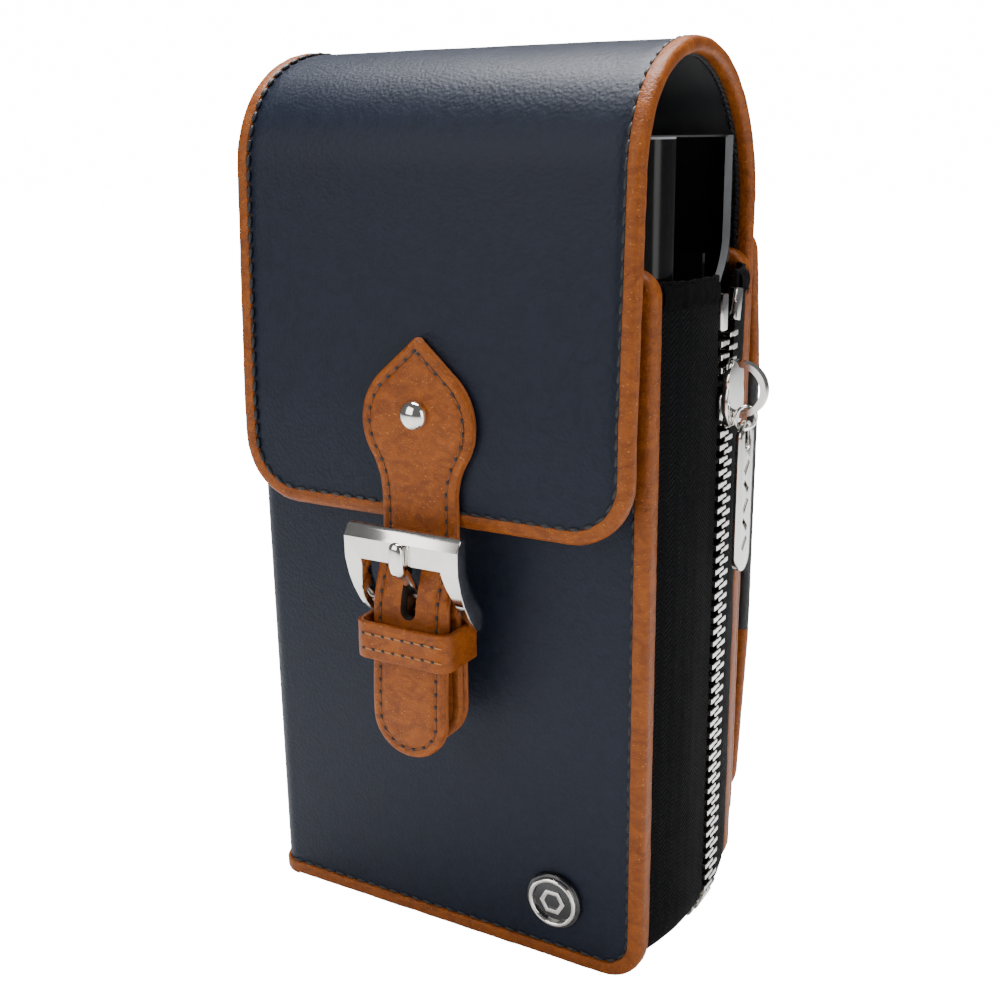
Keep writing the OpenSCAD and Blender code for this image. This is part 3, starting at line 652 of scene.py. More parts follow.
BELT_CUTS = steps(14, 149, 50)
for name, low, thick, material, slot, old in (("belt_leather", 0.4, 1.2, navy_leather, "navy_leather",
                                               "belt_panel"),
                                              ("belt_inner", 1.61, 0.78, black_ribbed, "black_lining",
                                               "belt_panel_lining")):
    bm = belt_sheet(0.5)
    cut_across(bm, 2, BELT_CUTS)
    cut_across(bm, 0, steps(-43, 43, 16))
    bmesh.ops.solidify(bm, geom=bm.faces[:], thickness=thick)
    for v in bm.verts:
        v.co.y = low + abs(v.co.y)
    make_piece(wrap_belt(bm), name, material, "case", (old,))
for name, low, high, material, slot, old in (("belt_edge", None, None, tan_leather, "tan_leather",
                                              "belt_panel_binding"),
                                             ("belt_edging", 57.0, 117.0, black_ribbed, "black_lining",
                                              "tunnel_edging")):
    whole = bmesh.new()
    for z0, z1 in (((14, 57), (117, 149)) if low is None else ((low + 0.05, high - 0.05),)):
        ring = edge_binding(belt_sheet(0), 2.7, 2.8, 1.1 if low is None else 1.3, 0.3)
        if z0 > 14:
            keep_side(ring, 2, z0, True)
        if z1 < 149:
            keep_side(ring, 2, z1, False)
        cut_across(ring, 2, steps(z0, z1, int((z1 - z0) / 2)))
        cut_across(ring, 0, steps(-30, 30, 20))
        roughen(ring, 0.07, 2.6, z0)
        join_into(whole, ring)
    make_piece(wrap_belt(whole), name, material, "case", (old,))
seam = bmesh.new()
for place, way in walk(outline_of(belt_sheet(0), 2.95), 3.0):
    add_stitch(seam, Vector((place.x, 0.35, place.z)), way, 2.5, 0.4, 0.12)
make_piece(wrap_belt(seam), "belt_stitches", black_thread_and_hole_shade, "case")


# ---- Belt panel pads ----
# Leather-covered fillers between the back and the ends of the belt panel; they take
# the pull of the belt and close the tunnel above and below.
for name, low, high, old in (("pad_upper", 117, 147, "belt_pad_upper"),
                             ("pad_lower", 17, 57, "belt_pad_lower")):
    bm = rounded_sheet(-36.9, 36.9, low + 0.1, high - 0.1, 2, 2, 2, 2, segments=5)
    cut_across(bm, 2, steps(low, high, 12))
    bmesh.ops.solidify(bm, geom=bm.faces[:], thickness=1.0)
    for v in bm.verts:
        front = abs(v.co.y) < 0.5
        edge = min(36.9 - abs(v.co.x), v.co.z - low, high - v.co.z, 2.0) / 2.0
        tight = 0.35 * (1 - edge) ** 2
        v.co.y = 28.0 + tight if front else belt_face(v.co.z) - 2.95 - tight
    make_piece(bm, name, navy_leather, "case", (old,))


# ---- Zip tapes ----
# Two black woven tapes, one sewn inside each panel, that bow out to the chain on the
# zip side, turn under the lower corner and run along the bottom.
def herringbone_group():
    """Shader group: slanted twill lines that change direction from column to column."""
    group = bpy.data.node_groups.new("herringbone", "ShaderNodeTree")
    group.interface.new_socket("Vector", in_out="INPUT", socket_type="NodeSocketVector")
    for label, default in (("Column", 1.6), ("Pitch", 0.55)):
        group.interface.new_socket(label, in_out="INPUT",
                                   socket_type="NodeSocketFloat").default_value = default
    group.interface.new_socket("Height", in_out="OUTPUT", socket_type="NodeSocketFloat")
    come, leave = group.nodes.new("NodeGroupInput"), group.nodes.new("NodeGroupOutput")
    part = node(group, "ShaderNodeSeparateXYZ")
    group.links.new(come.outputs["Vector"], part.inputs[0])
    fold = node(group, "ShaderNodeMath", operation="PINGPONG")
    group.links.new(part.outputs["Y"], fold.inputs[0])
    group.links.new(come.outputs["Column"], fold.inputs[1])
    lean = node(group, "ShaderNodeMath", operation="ADD")
    group.links.new(part.outputs["X"], lean.inputs[0])
    group.links.new(fold.outputs[0], lean.inputs[1])
    saw = node(group, "ShaderNodeMath", operation="PINGPONG")
    group.links.new(lean.outputs[0], saw.inputs[0])
    group.links.new(come.outputs["Pitch"], saw.inputs[1])
    group.links.new(saw.outputs[0], leave.inputs["Height"])
    return group


zip_tape_cloth = plain("zip_tape_cloth", (0.0035, 0.0035, 0.004), 0.8, grain=7000.0, depth=0.00008,
                       gloss=0.06)
tape_tree = zip_tape_cloth.node_tree
tape_size = node(tape_tree, "ShaderNodeMapping")
tape_size.inputs["Scale"].default_value = (230.0, 22.0, 1.0)
tape_tree.links.new(tape_tree.nodes["Texture Coordinate"].outputs["UV"], tape_size.inputs["Vector"])
tape_weave = node(tape_tree, "ShaderNodeGroup", node_tree=herringbone_group())
tape_tree.links.new(tape_size.outputs["Vector"], tape_weave.inputs["Vector"])
tape_bump = node(tape_tree, "ShaderNodeBump")
tape_bump.inputs["Distance"].default_value = 0.00035
tape_tree.links.new(tape_weave.outputs["Height"], tape_bump.inputs["Height"])
tape_tree.links.new(tape_tree.nodes["Bump"].outputs["Normal"], tape_bump.inputs["Normal"])
tape_tree.links.new(tape_bump.outputs["Normal"], tape_tree.nodes["Principled BSDF"].inputs["Normal"])
tape_tree.nodes["Principled BSDF"].inputs["Sheen Weight"].default_value = 0.015

ZIP_X, ZIP_Z, ZIP_R = 48.6, 1.4, 12.0


def edge_at(z):
    """How far the tape's edge stands from the middle at a height, where the zip begins to open."""
    return 3.2 if z < 117 else 3.2 + (z - 117) * 0.1 if z < 127 else 4.2 + (z - 127) * 0.04


def zip_station(u):
    """Panel point, chain point, outward angle and tape edge at u from 0, the top, to 1, the bottom end."""
    run = u * (128.6 + 18.85 + 64.6)
    if run < 128.6:
        z = 142 - run
        return (43.5, z, ZIP_X, z, 0.0, edge_at(z))
    run -= 128.6
    if run < 18.85:
        a = -run / 12
        return (36 + 7.5 * math.cos(a), 9 + 7.5 * math.sin(a) + 4.4 * (1 - min(1, -a / 0.5)),
                ZIP_X - 12 + 12 * math.cos(a),
                13.4 + 12 * math.sin(a), a, 3.2)
    x = 36.6 - (run - 18.85)
    return (x, 1.5, x, ZIP_Z, -math.pi / 2, 3.2)


def tape_point(u, w, y0, side, lift=0.0):
    """A point of a tape: u along it, w from 0 at the panel to 1 at the chain, lift mm outwards."""
    px, pz, cx, cz, a, edge = zip_station(u)
    y = y0 + (edge - y0) * w
    t = min(1.0, (y0 - y) / (y0 - 5.5))
    f = 1 - (1 - t) ** 2.1
    return Vector((px + (cx - px) * f + lift * math.cos(a), side * y,
                   pz + (cz - pz) * f + lift * math.sin(a)))


def mapped_grid(nu, nv, place):
    """A grid of nu by nv faces whose points are given by place(u, w), with an even UV map."""
    bm = bmesh.new()
    bm.loops.layers.uv.new("UVMap")
    bmesh.ops.create_grid(bm, x_segments=nu, y_segments=nv, size=1.0, calc_uvs=True)
    for v in bm.verts:
        v.co = place((v.co.x + 1) / 2, (v.co.y + 1) / 2)
    return bm


for side, y0, body, name, old in ((-1, 21.0, "front_cover", "tape_front", "zip_tape_front"),
                                  (1, 20.2, "case", "tape_rear", "zip_tape_rear")):
    def tape_place(u, w, y0=y0, side=side):
        wave = 0.25 * noise.noise(Vector((u * 30, w * 3, side))) * math.sin(math.pi * w)
        top = 0.35 * math.exp(-u * 60) * noise.noise(Vector((w * 9, side * 3, 1)))
        return tape_point(u, w, y0, side, 0.33 + wave) + Vector((0, 0, top))
    bm = mapped_grid(110, 16, tape_place)
    bmesh.ops.recalc_face_normals(bm, faces=bm.faces)
    if bm.faces[:][0].normal.x < 0:
        bmesh.ops.reverse_faces(bm, faces=bm.faces[:])
    bmesh.ops.solidify(bm, geom=bm.faces[:], thickness=0.66)
    # folded hem over the top end of the tape, fluffed at its edge
    def hem_place(u, w, y0=y0, side=side):
        a = math.tau * u
        fat = 0.95 + 0.35 * noise.noise(Vector((w * 11, side * 5,
                                                math.cos(a)))) + 0.15 * noise.noise(Vector((w * 40, a, 2)))
        at = tape_point(0.016, 0.03 + w * 0.90, y0, side, 0.25 + fat * 0.9 * math.cos(a))
        return at + Vector((0, 0, 0.6 + 2.1 * math.sin(a) * (1 + 0.25 * noise.noise(Vector((w * 7, 4,
            side))))))
    hem = mapped_grid(16, 44, hem_place)
    join_into(bm, hem)
    fluff = random.Random(5 + side)
    for k in range(260):
        w = fluff.random()
        root = tape_point(0.004 + 0.022 * fluff.random(), 0.03 + w * 0.9, y0, side, 0.9)
        tip = root + Vector((fluff.uniform(-0.1, 0.9), fluff.uniform(-0.9, 0.9), fluff.uniform(-0.2, 1.3)))
        a, b = bm.verts.new(root + Vector((0, 0.06, 0))), bm.verts.new(root - Vector((0, 0.06, 0)))
        c, d = bm.verts.new(root + Vector((0.08, 0, 0.05))), bm.verts.new(tip)
        for three in ((a, b, d), (b, c, d), (c, a, d)):
            bm.faces.new(three)
    make_piece(bm, name, zip_tape_cloth, body, (old,))


# ---- Zip teeth ----
# A number 5 metal chain: a tapered tooth about every 2.5 mm on each tape, the two
# rows half a pitch apart, with polished nickel on brass.
def polished(name, colour, rough):
    """Polished plating with faint wipe marks in its gloss."""
    made = plain(name, colour, rough, metallic=1.0, grain=350.0, depth=0.000002, vary=0.03)
    return made


nickel = polished("nickel", (0.80, 0.78, 0.74), 0.10)


def plate(loops, thick, rounding, segments=2, angle=0.5):
    """A flat plate with holes, drawn as loops of x, z points; y runs from 0 to thick. Its rims are rounded."""
    bm = bmesh.new()
    for loop in loops:
        ring = [bm.verts.new((p[0], 0, p[1])) for p in loop]
        for a, b in zip(ring, ring[1:] + ring[:1]):
            bm.edges.new((a, b))
    bmesh.ops.triangle_fill(bm, use_beauty=True, edges=bm.edges[:])
    bmesh.ops.dissolve_limit(bm, angle_limit=0.01, verts=bm.verts, edges=bm.edges)
    made = bmesh.ops.extrude_face_region(bm, geom=bm.faces[:])
    bmesh.ops.translate(bm, vec=(0, thick, 0),
                        verts=[g for g in made["geom"] if isinstance(g, bmesh.types.BMVert)])
    bmesh.ops.recalc_face_normals(bm, faces=bm.faces)
    if rounding > 0:
        rims = [e for e in bm.edges if e.is_manifold and e.calc_face_angle() > angle
                and abs(e.verts[0].co.y - e.verts[1].co.y) < 0.01]
        bmesh.ops.bevel(bm, geom=rims, offset=rounding, offset_type="OFFSET", affect="EDGES",
                        segments=segments,
                        profile=0.5, material=-1, clamp_overlap=True)
    return bm


def arc(cx, cz, r, start, end, count):
    """Points on an arc, angles in degrees."""
    return [(cx + r * math.cos(math.radians(start + (end - start) * i / count)),
             cz + r * math.sin(math.radians(start + (end - start) * i / count))) for i in range(count + 1)]


TOOTH_PITCH, S_BOTTOM, S_ARC = 2.54, ZIP_X - ZIP_R + 22, ZIP_R * math.pi / 2


def chain_at(s):
    """Place and turn of the chain s mm from its bottom stop."""
    if s < S_BOTTOM:
        return -22 + s, ZIP_Z, -math.pi / 2
    if s < S_BOTTOM + S_ARC:
        a = -math.pi / 2 + (s - S_BOTTOM) / ZIP_R
        return ZIP_X - ZIP_R + ZIP_R * math.cos(a), ZIP_Z + ZIP_R + ZIP_R * math.sin(a), a
    return ZIP_X, ZIP_Z + ZIP_R + s - S_BOTTOM - S_ARC, 0.0


for side, shift, body, name, old in ((-1, 0.0, "front_cover", "teeth_front", "zip_teeth_front"),
                                     (1, 1.27, "case", "teeth_rear", "zip_teeth_rear")):
    one = plate([[(-3.6, -0.55), (-3.6, 0.55), (-1.9, 0.60), (-1.3, 0.46), (-0.6, 0.44), (0.25, 0.50),
                  (0.45, 0.3), (0.45, -0.3),
                  (0.25, -0.50), (-0.6, -0.44), (-1.3, -0.46), (-1.9, -0.60)]], 2.3, 0.14, 1)
    bmesh.ops.translate(one, vec=(0, -1.15, 0), verts=one.verts)
    # plate x becomes the tooth's reach over the middle, plate y its height over the tape
    template = bpy.data.meshes.new("tooth")
    one.to_mesh(template)
    one.free()
    bm = bmesh.new()
    for i in range(1, 77):
        x, z, a = chain_at(i * TOOTH_PITCH + shift)
        e = edge_at(z if z > 100 else 0) - 0.02
        first = len(bm.verts)
        bm.from_mesh(template)
        bm.verts.ensure_lookup_table()
        tilt = Matrix.Rotation(-a, 3, "Y")
        for v in bm.verts[first:]:
            v.co = tilt @ Vector((v.co.y, side * (e - 3.6 - v.co.x), v.co.z)) + Vector((x, 0, z))
    bpy.data.meshes.remove(template)
    make_piece(bm, name, nickel, body, (old,), smooth=30)


# ---- Zip stops ----
# Folded sheet-metal stops at the upper end of each row and a cast stop at the end
# of the chain under the body.
def clip(width, height, length, rounding):
    """A block with rounded edges, centred in x and y and standing on z 0."""
    bm = plate([[(-width / 2, -height / 2), (width / 2, -height / 2), (width / 2, height / 2),
                 (-width / 2, height / 2)]],
               length, 0)
    bmesh.ops.bevel(bm, geom=bm.edges[:], offset=rounding, offset_type="OFFSET", affect="EDGES", segments=2,
                    profile=0.5, material=-1)
    bmesh.ops.rotate(bm, verts=bm.verts, cent=(0, 0, 0), matrix=Matrix.Rotation(math.pi / 2, 3, "X"))
    return bm


for name, width, height, length, lean, place, body, old in (
        ("stop_front", 2.5, 2.2, 7.0, 0.0, (ZIP_X + 0.2, -3.35, 131.5), "front_cover", "top_stop_front"),
        ("stop_rear", 2.5, 2.2, 6.3, -0.22, (ZIP_X + 0.2, 3.4, 132.6), "case", "top_stop_rear"),
        ("stop_bottom", 2.8, 2.9, 2.4, 0.0, (-22.8, 1.65, 0.2), "case", "bottom_stop")):
    bm = clip(width, height, length, 0.35)
    bmesh.ops.rotate(bm, verts=bm.verts, cent=(0, 0, 0), matrix=Matrix.Rotation(lean, 3, "X"))
    bmesh.ops.translate(bm, vec=place, verts=bm.verts)
    make_piece(bm, name, nickel, body, (old,), smooth=30)


# ---- Slider ----
# Die-cast slider: two plates that hold the rows together, with side lips, and a wide
# D-shaped bridge that carries the pull.
def slider_outline(grow=0.0):
    """Shield outline in y and z: wide shoulders, narrow waist and a round crown."""
    right = [(2.9 + grow, 113 - grow), (3.7 + grow, 113.8), (4.4 + grow, 116.0), (4.5 + grow, 118.5),
             (3.9 + grow, 120.6)]
    crown = arc(0, 121.6, 4.1 + grow, -14, 194, 22)
    left = [(-y, z) for y, z in reversed(right)]
    return right + crown + left


whole = bmesh.new()
for x0 in (45.9, 50.0):
    bm = plate([slider_outline()], 1.3, 0.4, 3)
    bmesh.ops.translate(bm, vec=(0, x0, 0), verts=bm.verts)
    join_into(whole, bm)
for s in (-1, 1):
    bm = plate([[(s * 3.85, 114.2), (s * 4.45, 114.6), (s * 4.5, 118.6), (s * 3.9, 119.6)]], 0.9, 0.15, 2)
    bmesh.ops.translate(bm, vec=(0, 49.2, 0), verts=bm.verts)
    join_into(whole, bm)
# drawn with x and y swapped, so that the plates stand across x
for v in whole.verts:
    v.co.x, v.co.y = v.co.y, v.co.x
make_piece(whole, "slider_plates", nickel, "slider", ("slider_body",), smooth=30)

outer = [(51.0, 114.5), (52.0, 114.5)] + arc(52.0, 120.0, 5.5, -90, 90, 24)[1:] + [(51.0, 125.5)]
inner = [(51.0, 115.6), (52.0, 115.6)] + arc(52.0, 120.0, 4.35, -90, 90, 24)[1:] + [(51.0, 124.35)]
bm = plate([outer, inner], 2.2, 0.25, 3)
bmesh.ops.translate(bm, vec=(0, -1.1, 0), verts=bm.verts)
make_piece(bm, "slider_bow", nickel, "slider", ("slider_bridge",), smooth=30)


# ---- Zip pull ----
# A small wire link and a long plate with rounded ends, an oval eye and a row of
# slanted slots.
LINK_X = 53.4
RING_Z = 115.85 + 0.1 - 1.503
bm = bmesh.new()
bmesh.ops.create_circle(bm, segments=14, radius=0.4,
                        matrix=Matrix.Translation((2.2, 0, 0)) @ Matrix.Rotation(math.pi / 2, 4, "X"))
bmesh.ops.spin(bm, geom=bm.verts[:] + bm.edges[:], cent=(0, 0, 0), axis=(0, 0, 1), angle=math.tau, steps=40)
bmesh.ops.rotate(bm, verts=bm.verts, cent=(0, 0, 0),
                 matrix=Matrix.Rotation(math.pi / 4, 3, "Z") @ Matrix.Rotation(math.pi / 2, 3, "X"))
bmesh.ops.translate(bm, vec=(LINK_X, 0, RING_Z), verts=bm.verts)
make_piece(bm, "pull_link", nickel, "link", ("link_ring",))

top = RING_Z - 1.503 + 0.38
outline = arc(0, top - 2.6, 3.3, 0, 180, 20) + arc(0, top - 26.5, 3.3, 180, 360, 20)
eye = arc(0, top - 1.75, 1.75, 0, 180, 12) + arc(0, top - 3.25, 1.75, 180, 360, 12)
slots = []
for k in range(5):
    c, s = math.cos(math.radians(45 if k % 2 == 0 else -45)), math.sin(math.radians(45 if k % 2 == 0 else -45))
    slots.append([(u * c - v * s, top - 8.4 - 3.9 * k + u * s + v * c)
                  for u, v in ((-1.5, -0.55), (1.5, -0.55), (1.5, 0.55), (-1.5, 0.55))])
bm = plate([outline, eye] + slots, 1.4, 0.22, 2)
cut_across(bm, 2, (top - 1.5, top - 0.8))
for v in bm.verts:
    # thinner above the eye's middle, where it swings past the ring
    thin = 1 - 0.43 * min(1, max(0, (v.co.z - top + 1.5) / 0.7))
    v.co.x, v.co.y = LINK_X + (v.co.y - 0.7) * thin, v.co.x
make_piece(bm, "pull_plate", nickel, "tab", ("pull_tab",), smooth=30)


# ---- Tray ----
# Smoked clear plastic tray with 1.5 mm walls that stands inside and takes the phone;
# its side towards the zip is cut out, and its cut faces are painted pale as a painted
# highlight for the light that runs through the plastic's edge.
def smoked(name, colour, rough, clear):
    """Tinted clear plastic with faint rub marks."""
    made = bpy.data.materials.new(name)
    made.use_nodes = True
    tree = made.node_tree
    skin = tree.nodes["Principled BSDF"]
    skin.inputs["Base Color"].default_value = (*colour, 1)
    skin.inputs["Transmission Weight"].default_value = clear
    skin.inputs["Specular IOR Level"].default_value = 0.15
    skin.inputs["IOR"].default_value = 1.47
    where = node(tree, "ShaderNodeTexCoord")
    rub = node(tree, "ShaderNodeTexNoise")
    rub.inputs["Scale"].default_value = 90.0
    rub.inputs["Detail"].default_value = 5.0
    tree.links.new(where.outputs["Object"], rub.inputs["Vector"])
    wear = node(tree, "ShaderNodeMapRange")
    wear.inputs["To Min"].default_value = rough
    wear.inputs["To Max"].default_value = rough + 0.12
    tree.links.new(rub.outputs["Fac"], wear.inputs["Value"])
    tree.links.new(wear.outputs["Result"], skin.inputs["Roughness"])
    return made


smoked_plastic = smoked("smoked_plastic", (0.008, 0.008, 0.009), 0.10, 0.25)
# painted highlight: pale grey plastic for the light that runs out through the tray's cut edges
painted_edge_highlight = smoked("painted_edge_highlight", (0.30, 0.31, 0.32), 0.35, 0.1)


def tray_plan(inset):
    """The tray's plan as x, y points, pulled in by inset."""
    r = 6 - inset
    return (arc(37.6, 13.6, r, 0, 90, 8) + arc(-38, 13.6, r, 90, 180, 8)
            + arc(-38, -14.4, r, 180, 270, 8) + arc(37.6, -14.4, r, 270, 360, 8))


TRAY_TOP = 166.8
bm = bmesh.new()
rings = []
for inset, heights in ((0.0, (3.4, TRAY_TOP)), (1.5, (TRAY_TOP, 4.9))):
    for z in heights:
        rings.append([bm.verts.new((x, y, z)) for x, y in tray_plan(inset)])
for low, high in zip(rings, rings[1:]):
    for a, b, c, d in zip(low, low[1:] + low[:1], high[1:] + high[:1], high):
        bm.faces.new((a, b, c, d))
bm.faces.new(rings[0])
bm.faces.new(rings[-1])
cut_across(bm, 2, steps(120, TRAY_TOP, 30) + [4, 6, 8, 10, 13])
cut_across(bm, 0, [33.6, 36, 38, 40, 42])
bmesh.ops.recalc_face_normals(bm, faces=bm.faces)
for v in bm.verts:
    # lower corner towards the zip, rounded where the chain turns
    if v.co.x > 33.6 and v.co.z < 13.4:
        far = math.hypot(v.co.x - 33.6, v.co.z - 13.4)
        most = 10.0 if v.co.z < 4.6 or v.co.x > 43 else 8.5
        if far > most:
            v.co.x = 33.6 + (v.co.x - 33.6) * most / far
            v.co.z = 13.4 + (v.co.z - 13.4) * most / far
tray_obj = make_piece(bm, "tray_shape", smoked_plastic, "tray", ("tray_shell",), smooth=50)


def carve(obj, cutter, edge=None, solver="EXACT"):
    """Takes a mesh in mm away from a finished piece; the cut faces can take the piece's second material."""
    bmesh.ops.recalc_face_normals(cutter, faces=cutter.faces)
    bmesh.ops.scale(cutter, vec=(0.001, 0.001, 0.001), verts=cutter.verts)
    data = bpy.data.meshes.new("cutter")
    cutter.to_mesh(data)
    cutter.free()
    if edge:
        if edge.name not in [m.name for m in obj.data.materials]:
            obj.data.materials.append(edge)
        for m in obj.data.materials:
            data.materials.append(m)
        for f in data.polygons:
            f.material_index = len(data.materials) - 1
    tool = bpy.data.objects.new("cutter", data)
    bpy.context.scene.collection.objects.link(tool)
    change = obj.modifiers.new("cut", "BOOLEAN")
    change.operation, change.solver, change.object = "DIFFERENCE", solver, tool
    bpy.context.view_layer.update()
    result = bpy.data.meshes.new_from_object(obj.evaluated_get(bpy.context.evaluated_depsgraph_get()))
    obj.modifiers.remove(change)
    obj.data = result
    bpy.data.objects.remove(tool)
    return obj


notch = plate([[(-14.2, 190)] + arc(-8.2, 140, 6, 180, 270, 8) + arc(-2.6, 152, 18, -90, 0,
    16) + [(15.4, 190)]], 12, 0)
for v in notch.verts:
    v.co.x, v.co.y = 36.0 + v.co.y, v.co.x
# the cut faces take the pale painted highlight
carve(tray_obj, notch, painted_edge_highlight, "FAST")

# painted highlight: a pale strip laid along the top of the rim, where the light runs through the plastic's edge
bm = plate([tray_plan(-0.02), tray_plan(1.52)], 0.35, 0)
for v in bm.verts:
    v.co.y, v.co.z = v.co.z, TRAY_TOP - 0.30 + v.co.y
rim_obj = make_piece(bm, "tray_lip_highlight", painted_edge_highlight, "tray")
cutter = plate([[(30, -14.3), (60, -14.3), (60, 15.4), (30, 15.4)]], 20, 0)
for v in cutter.verts:
    v.co.y, v.co.z = v.co.z, 155 + v.co.y
carve(rim_obj, cutter)


# ---- Strap ----
# Tan strap with a bulb-shaped head riveted to the flap, double leather with a painted
# edge, a stitched border and one slot for the prong; it passes through the buckle.
strap_leather = leather("strap_leather", (0.16, 0.036, 0.0020), (0.28, 0.070, 0.0042), 0.46, 2200.0, 6000.0,
                        1.6, 0.00010,
                        coat=0.06, stretch=(1, 1, 1.6), spread=(0.32, 0.70), fleck=(0.50, 0.20, 0.04),
                        turned=(0.0, 0.6, 0.0))
edge_paint = plain("edge_paint", (0.30, 0.085, 0.016), 0.55, grain=900.0, depth=0.00004)
STRAP_SIDE = ((140, -33.2), (116, -34.5), (94.4, -34.5), (90, -34.8), (80, -38.8), (74, -39.2), (60, -40.2),
              (30, -40.2))


def strap_y(z):
    """Outer face of the strap at a height, with its bends eased."""
    total = 0.0
    for d in (-2, -1, 0, 1, 2):
        for (z1, y1), (z0, y0) in zip(STRAP_SIDE, STRAP_SIDE[1:]):
            if z0 <= z + d <= z1:
                total += y0 + (y1 - y0) * (z + d - z0) / (z1 - z0)
                break
    return total / 5


def strap_outline():
    """Outline of the strap in x and z, from its point round to its tongue."""
    side = [(0.45, 131.0)] + arc(0, 114.6, 12.6, 47, -38, 26) + arc(22.5, 100.4, 14, 155, 180, 10)
    for _ in range(3):
        side[20:-3] = [tuple((a + 2 * b + c) / 4 for a, b, c in zip(*three))
                       for three in zip(side[19:-4], side[20:-3], side[21:-2])]
    side += [(8.5, z) for z in (90, 80, 70, 60)]
    return side + arc(0, 55.9, 8.5, 0, -180, 28) + [(-x, z) for x, z in reversed(side)]


def shrink(points, inset):
    """The outline of x, z points pulled in by inset, with its corners kept square."""
    area = sum(a[0] * b[1] - b[0] * a[1] for a, b in zip(points, points[1:] + points[:1]))
    sign, made = (1 if area > 0 else -1), []
    for a, b, c in zip(points[-1:] + points[:-1], points, points[1:] + points[:1]):
        u, v = Vector((b[0] - a[0], b[1] - a[1])).normalized(), Vector((c[0] - b[0],
            c[1] - b[1])).normalized()
        n = Vector((-(u.y + v.y), u.x + v.x)).normalized() * sign
        grow = min(1.6, 1 / max(0.3, n.dot(Vector((-v.y, v.x)) * sign)))
        made.append((b[0] + n.x * inset * grow, b[1] + n.y * inset * grow))
    return made


def layered(outline, front, back, side_index=1):
    """A leather strip: front and back are lists of (mm in from the edge, depth); the two meet round the edge."""
    bm, rims = bmesh.new(), []
    for levels in (front, back):
        rings = [[bm.verts.new((x, depth, z)) for x, z in shrink(outline, inset)] for inset, depth in levels]
        for low, high in zip(rings, rings[1:]):
            for a, b, c, d in zip(low, low[1:] + low[:1], high[1:] + high[:1], high):
                bm.faces.new((a, b, c, d))
        bm.faces.new(rings[-1])
        rims.append(rings[0])
    for a, b, c, d in zip(rims[0], rims[0][1:] + rims[0][:1], rims[1][1:] + rims[1][:1], rims[1]):
        bm.faces.new((a, b, c, d)).material_index = side_index
    bmesh.ops.recalc_face_normals(bm, faces=bm.faces)
    return bm


bm = layered(strap_outline(), ((0, 0.75), (0.2, 0.3), (0.6, 0.04), (1.1, 0.0), (1.6, 0.02), (1.82, 0.2),
                               (2.08, 0.2), (2.3, 0.02), (3.6, -0.1)),
             ((0, 1.7), (0.3, 2.2), (0.9, 2.36)))
cut_across(bm, 2, steps(48, 131, 76))
cut_across(bm, 0, (-3, 0, 3))
for v in bm.verts:
    v.co.y += strap_y(v.co.z) + 0.05 * noise.noise(v.co / 3.0)
strap = make_piece(bm, "strap", strap_leather, replaces=("billet_upper", "billet_lower"),
                   edge=edge_paint,
                   smooth=50)
slot_cut = plate([arc(0, 86.9, 1.75, 0, 180, 12) + arc(0, 78.2, 1.75, 180, 360, 12)], 16, 0)
bmesh.ops.translate(slot_cut, vec=(0, -44, 0), verts=slot_cut.verts)
# painted shade: the slot's cut walls are coloured near black for the shade inside the hole
slot_wall_shade = plain("slot_wall_shade", (0.02, 0.010, 0.006), 0.8)
carve(strap, slot_cut, slot_wall_shade)
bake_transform(strap)

brown_thread = plain("brown_thread", (0.16, 0.055, 0.016), 0.6, grain=6000.0)
# painted shade: the black beads at each stitch hole stand for the shade in the holes; the brown thread runs
# between them
holes, thread = bmesh.new(), bmesh.new()
run = walk([Vector((x, 0, z)) for x, z in shrink(strap_outline(), 1.95)], 2.6)
for (place, way), (after, _) in zip(run, run[1:] + run[:1]):
    for bm, at, length, thick, depth in ((holes, place, 0.95, 0.36, 0.12),
                                         (thread, (place + after) / 2, 2.3, 0.17, 0.10)):
        add_stitch(bm, Vector((at.x, strap_y(at.z) + depth, at.z)), way, length, thick,
                   0.15 if bm is holes else 0.05, 2)
for bm, name, material in ((holes, "strap_hole_shade", black_thread_and_hole_shade), (thread, "strap_thread", brown_thread)):
    piece = make_piece(bm, name, material)
    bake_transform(piece)


# ---- Rivet ----
# Domed nickel rivet through the head of the strap and the flap, with a flat washer
# inside.
def lathe(profile, centre, steps_round=48):
    """Turns a profile of (radius, distance) about an axis through centre that points to the front."""
    bm = bmesh.new()
    points = [bm.verts.new((r, 0, t)) for r, t in profile]
    line = [bm.edges.new((a, b)) for a, b in zip(points, points[1:])]
    bmesh.ops.spin(bm, geom=points + line, cent=(0, 0, 0), axis=(0, 0, 1), angle=math.tau, steps=steps_round)
    bmesh.ops.rotate(bm, verts=bm.verts, cent=(0, 0, 0), matrix=Matrix.Rotation(math.pi / 2, 3, "X"))
    bmesh.ops.translate(bm, vec=centre, verts=bm.verts)
    return bm


def dome(radius, height, rim, count=10):
    """Profile of a dome that stands on a short straight rim."""
    return [(radius, 0.0)] + [(radius * math.cos(math.pi / 2 * i / count),
                               rim + height * math.sin(math.pi / 2 * i / count))
                              for i in range(count + 1)]


make_piece(lathe([(0, -5.3), (1.2, -5.3), (1.2, 0.0)] + dome(2.95, 2.0, 0.35), (0, -34.55, 116.5)), "rivet",
           nickel, "flap",
           ("rivet_cap",), smooth=50)
make_piece(lathe([(1.26, 0), (3.0, 0), (3.0, 0.4), (2.8, 0.6), (1.26, 0.6), (1.26, 0)], (0, -29.2, 116.5)),
           "rivet_washer", nickel,
           "flap", ("rivet_back",), smooth=50)


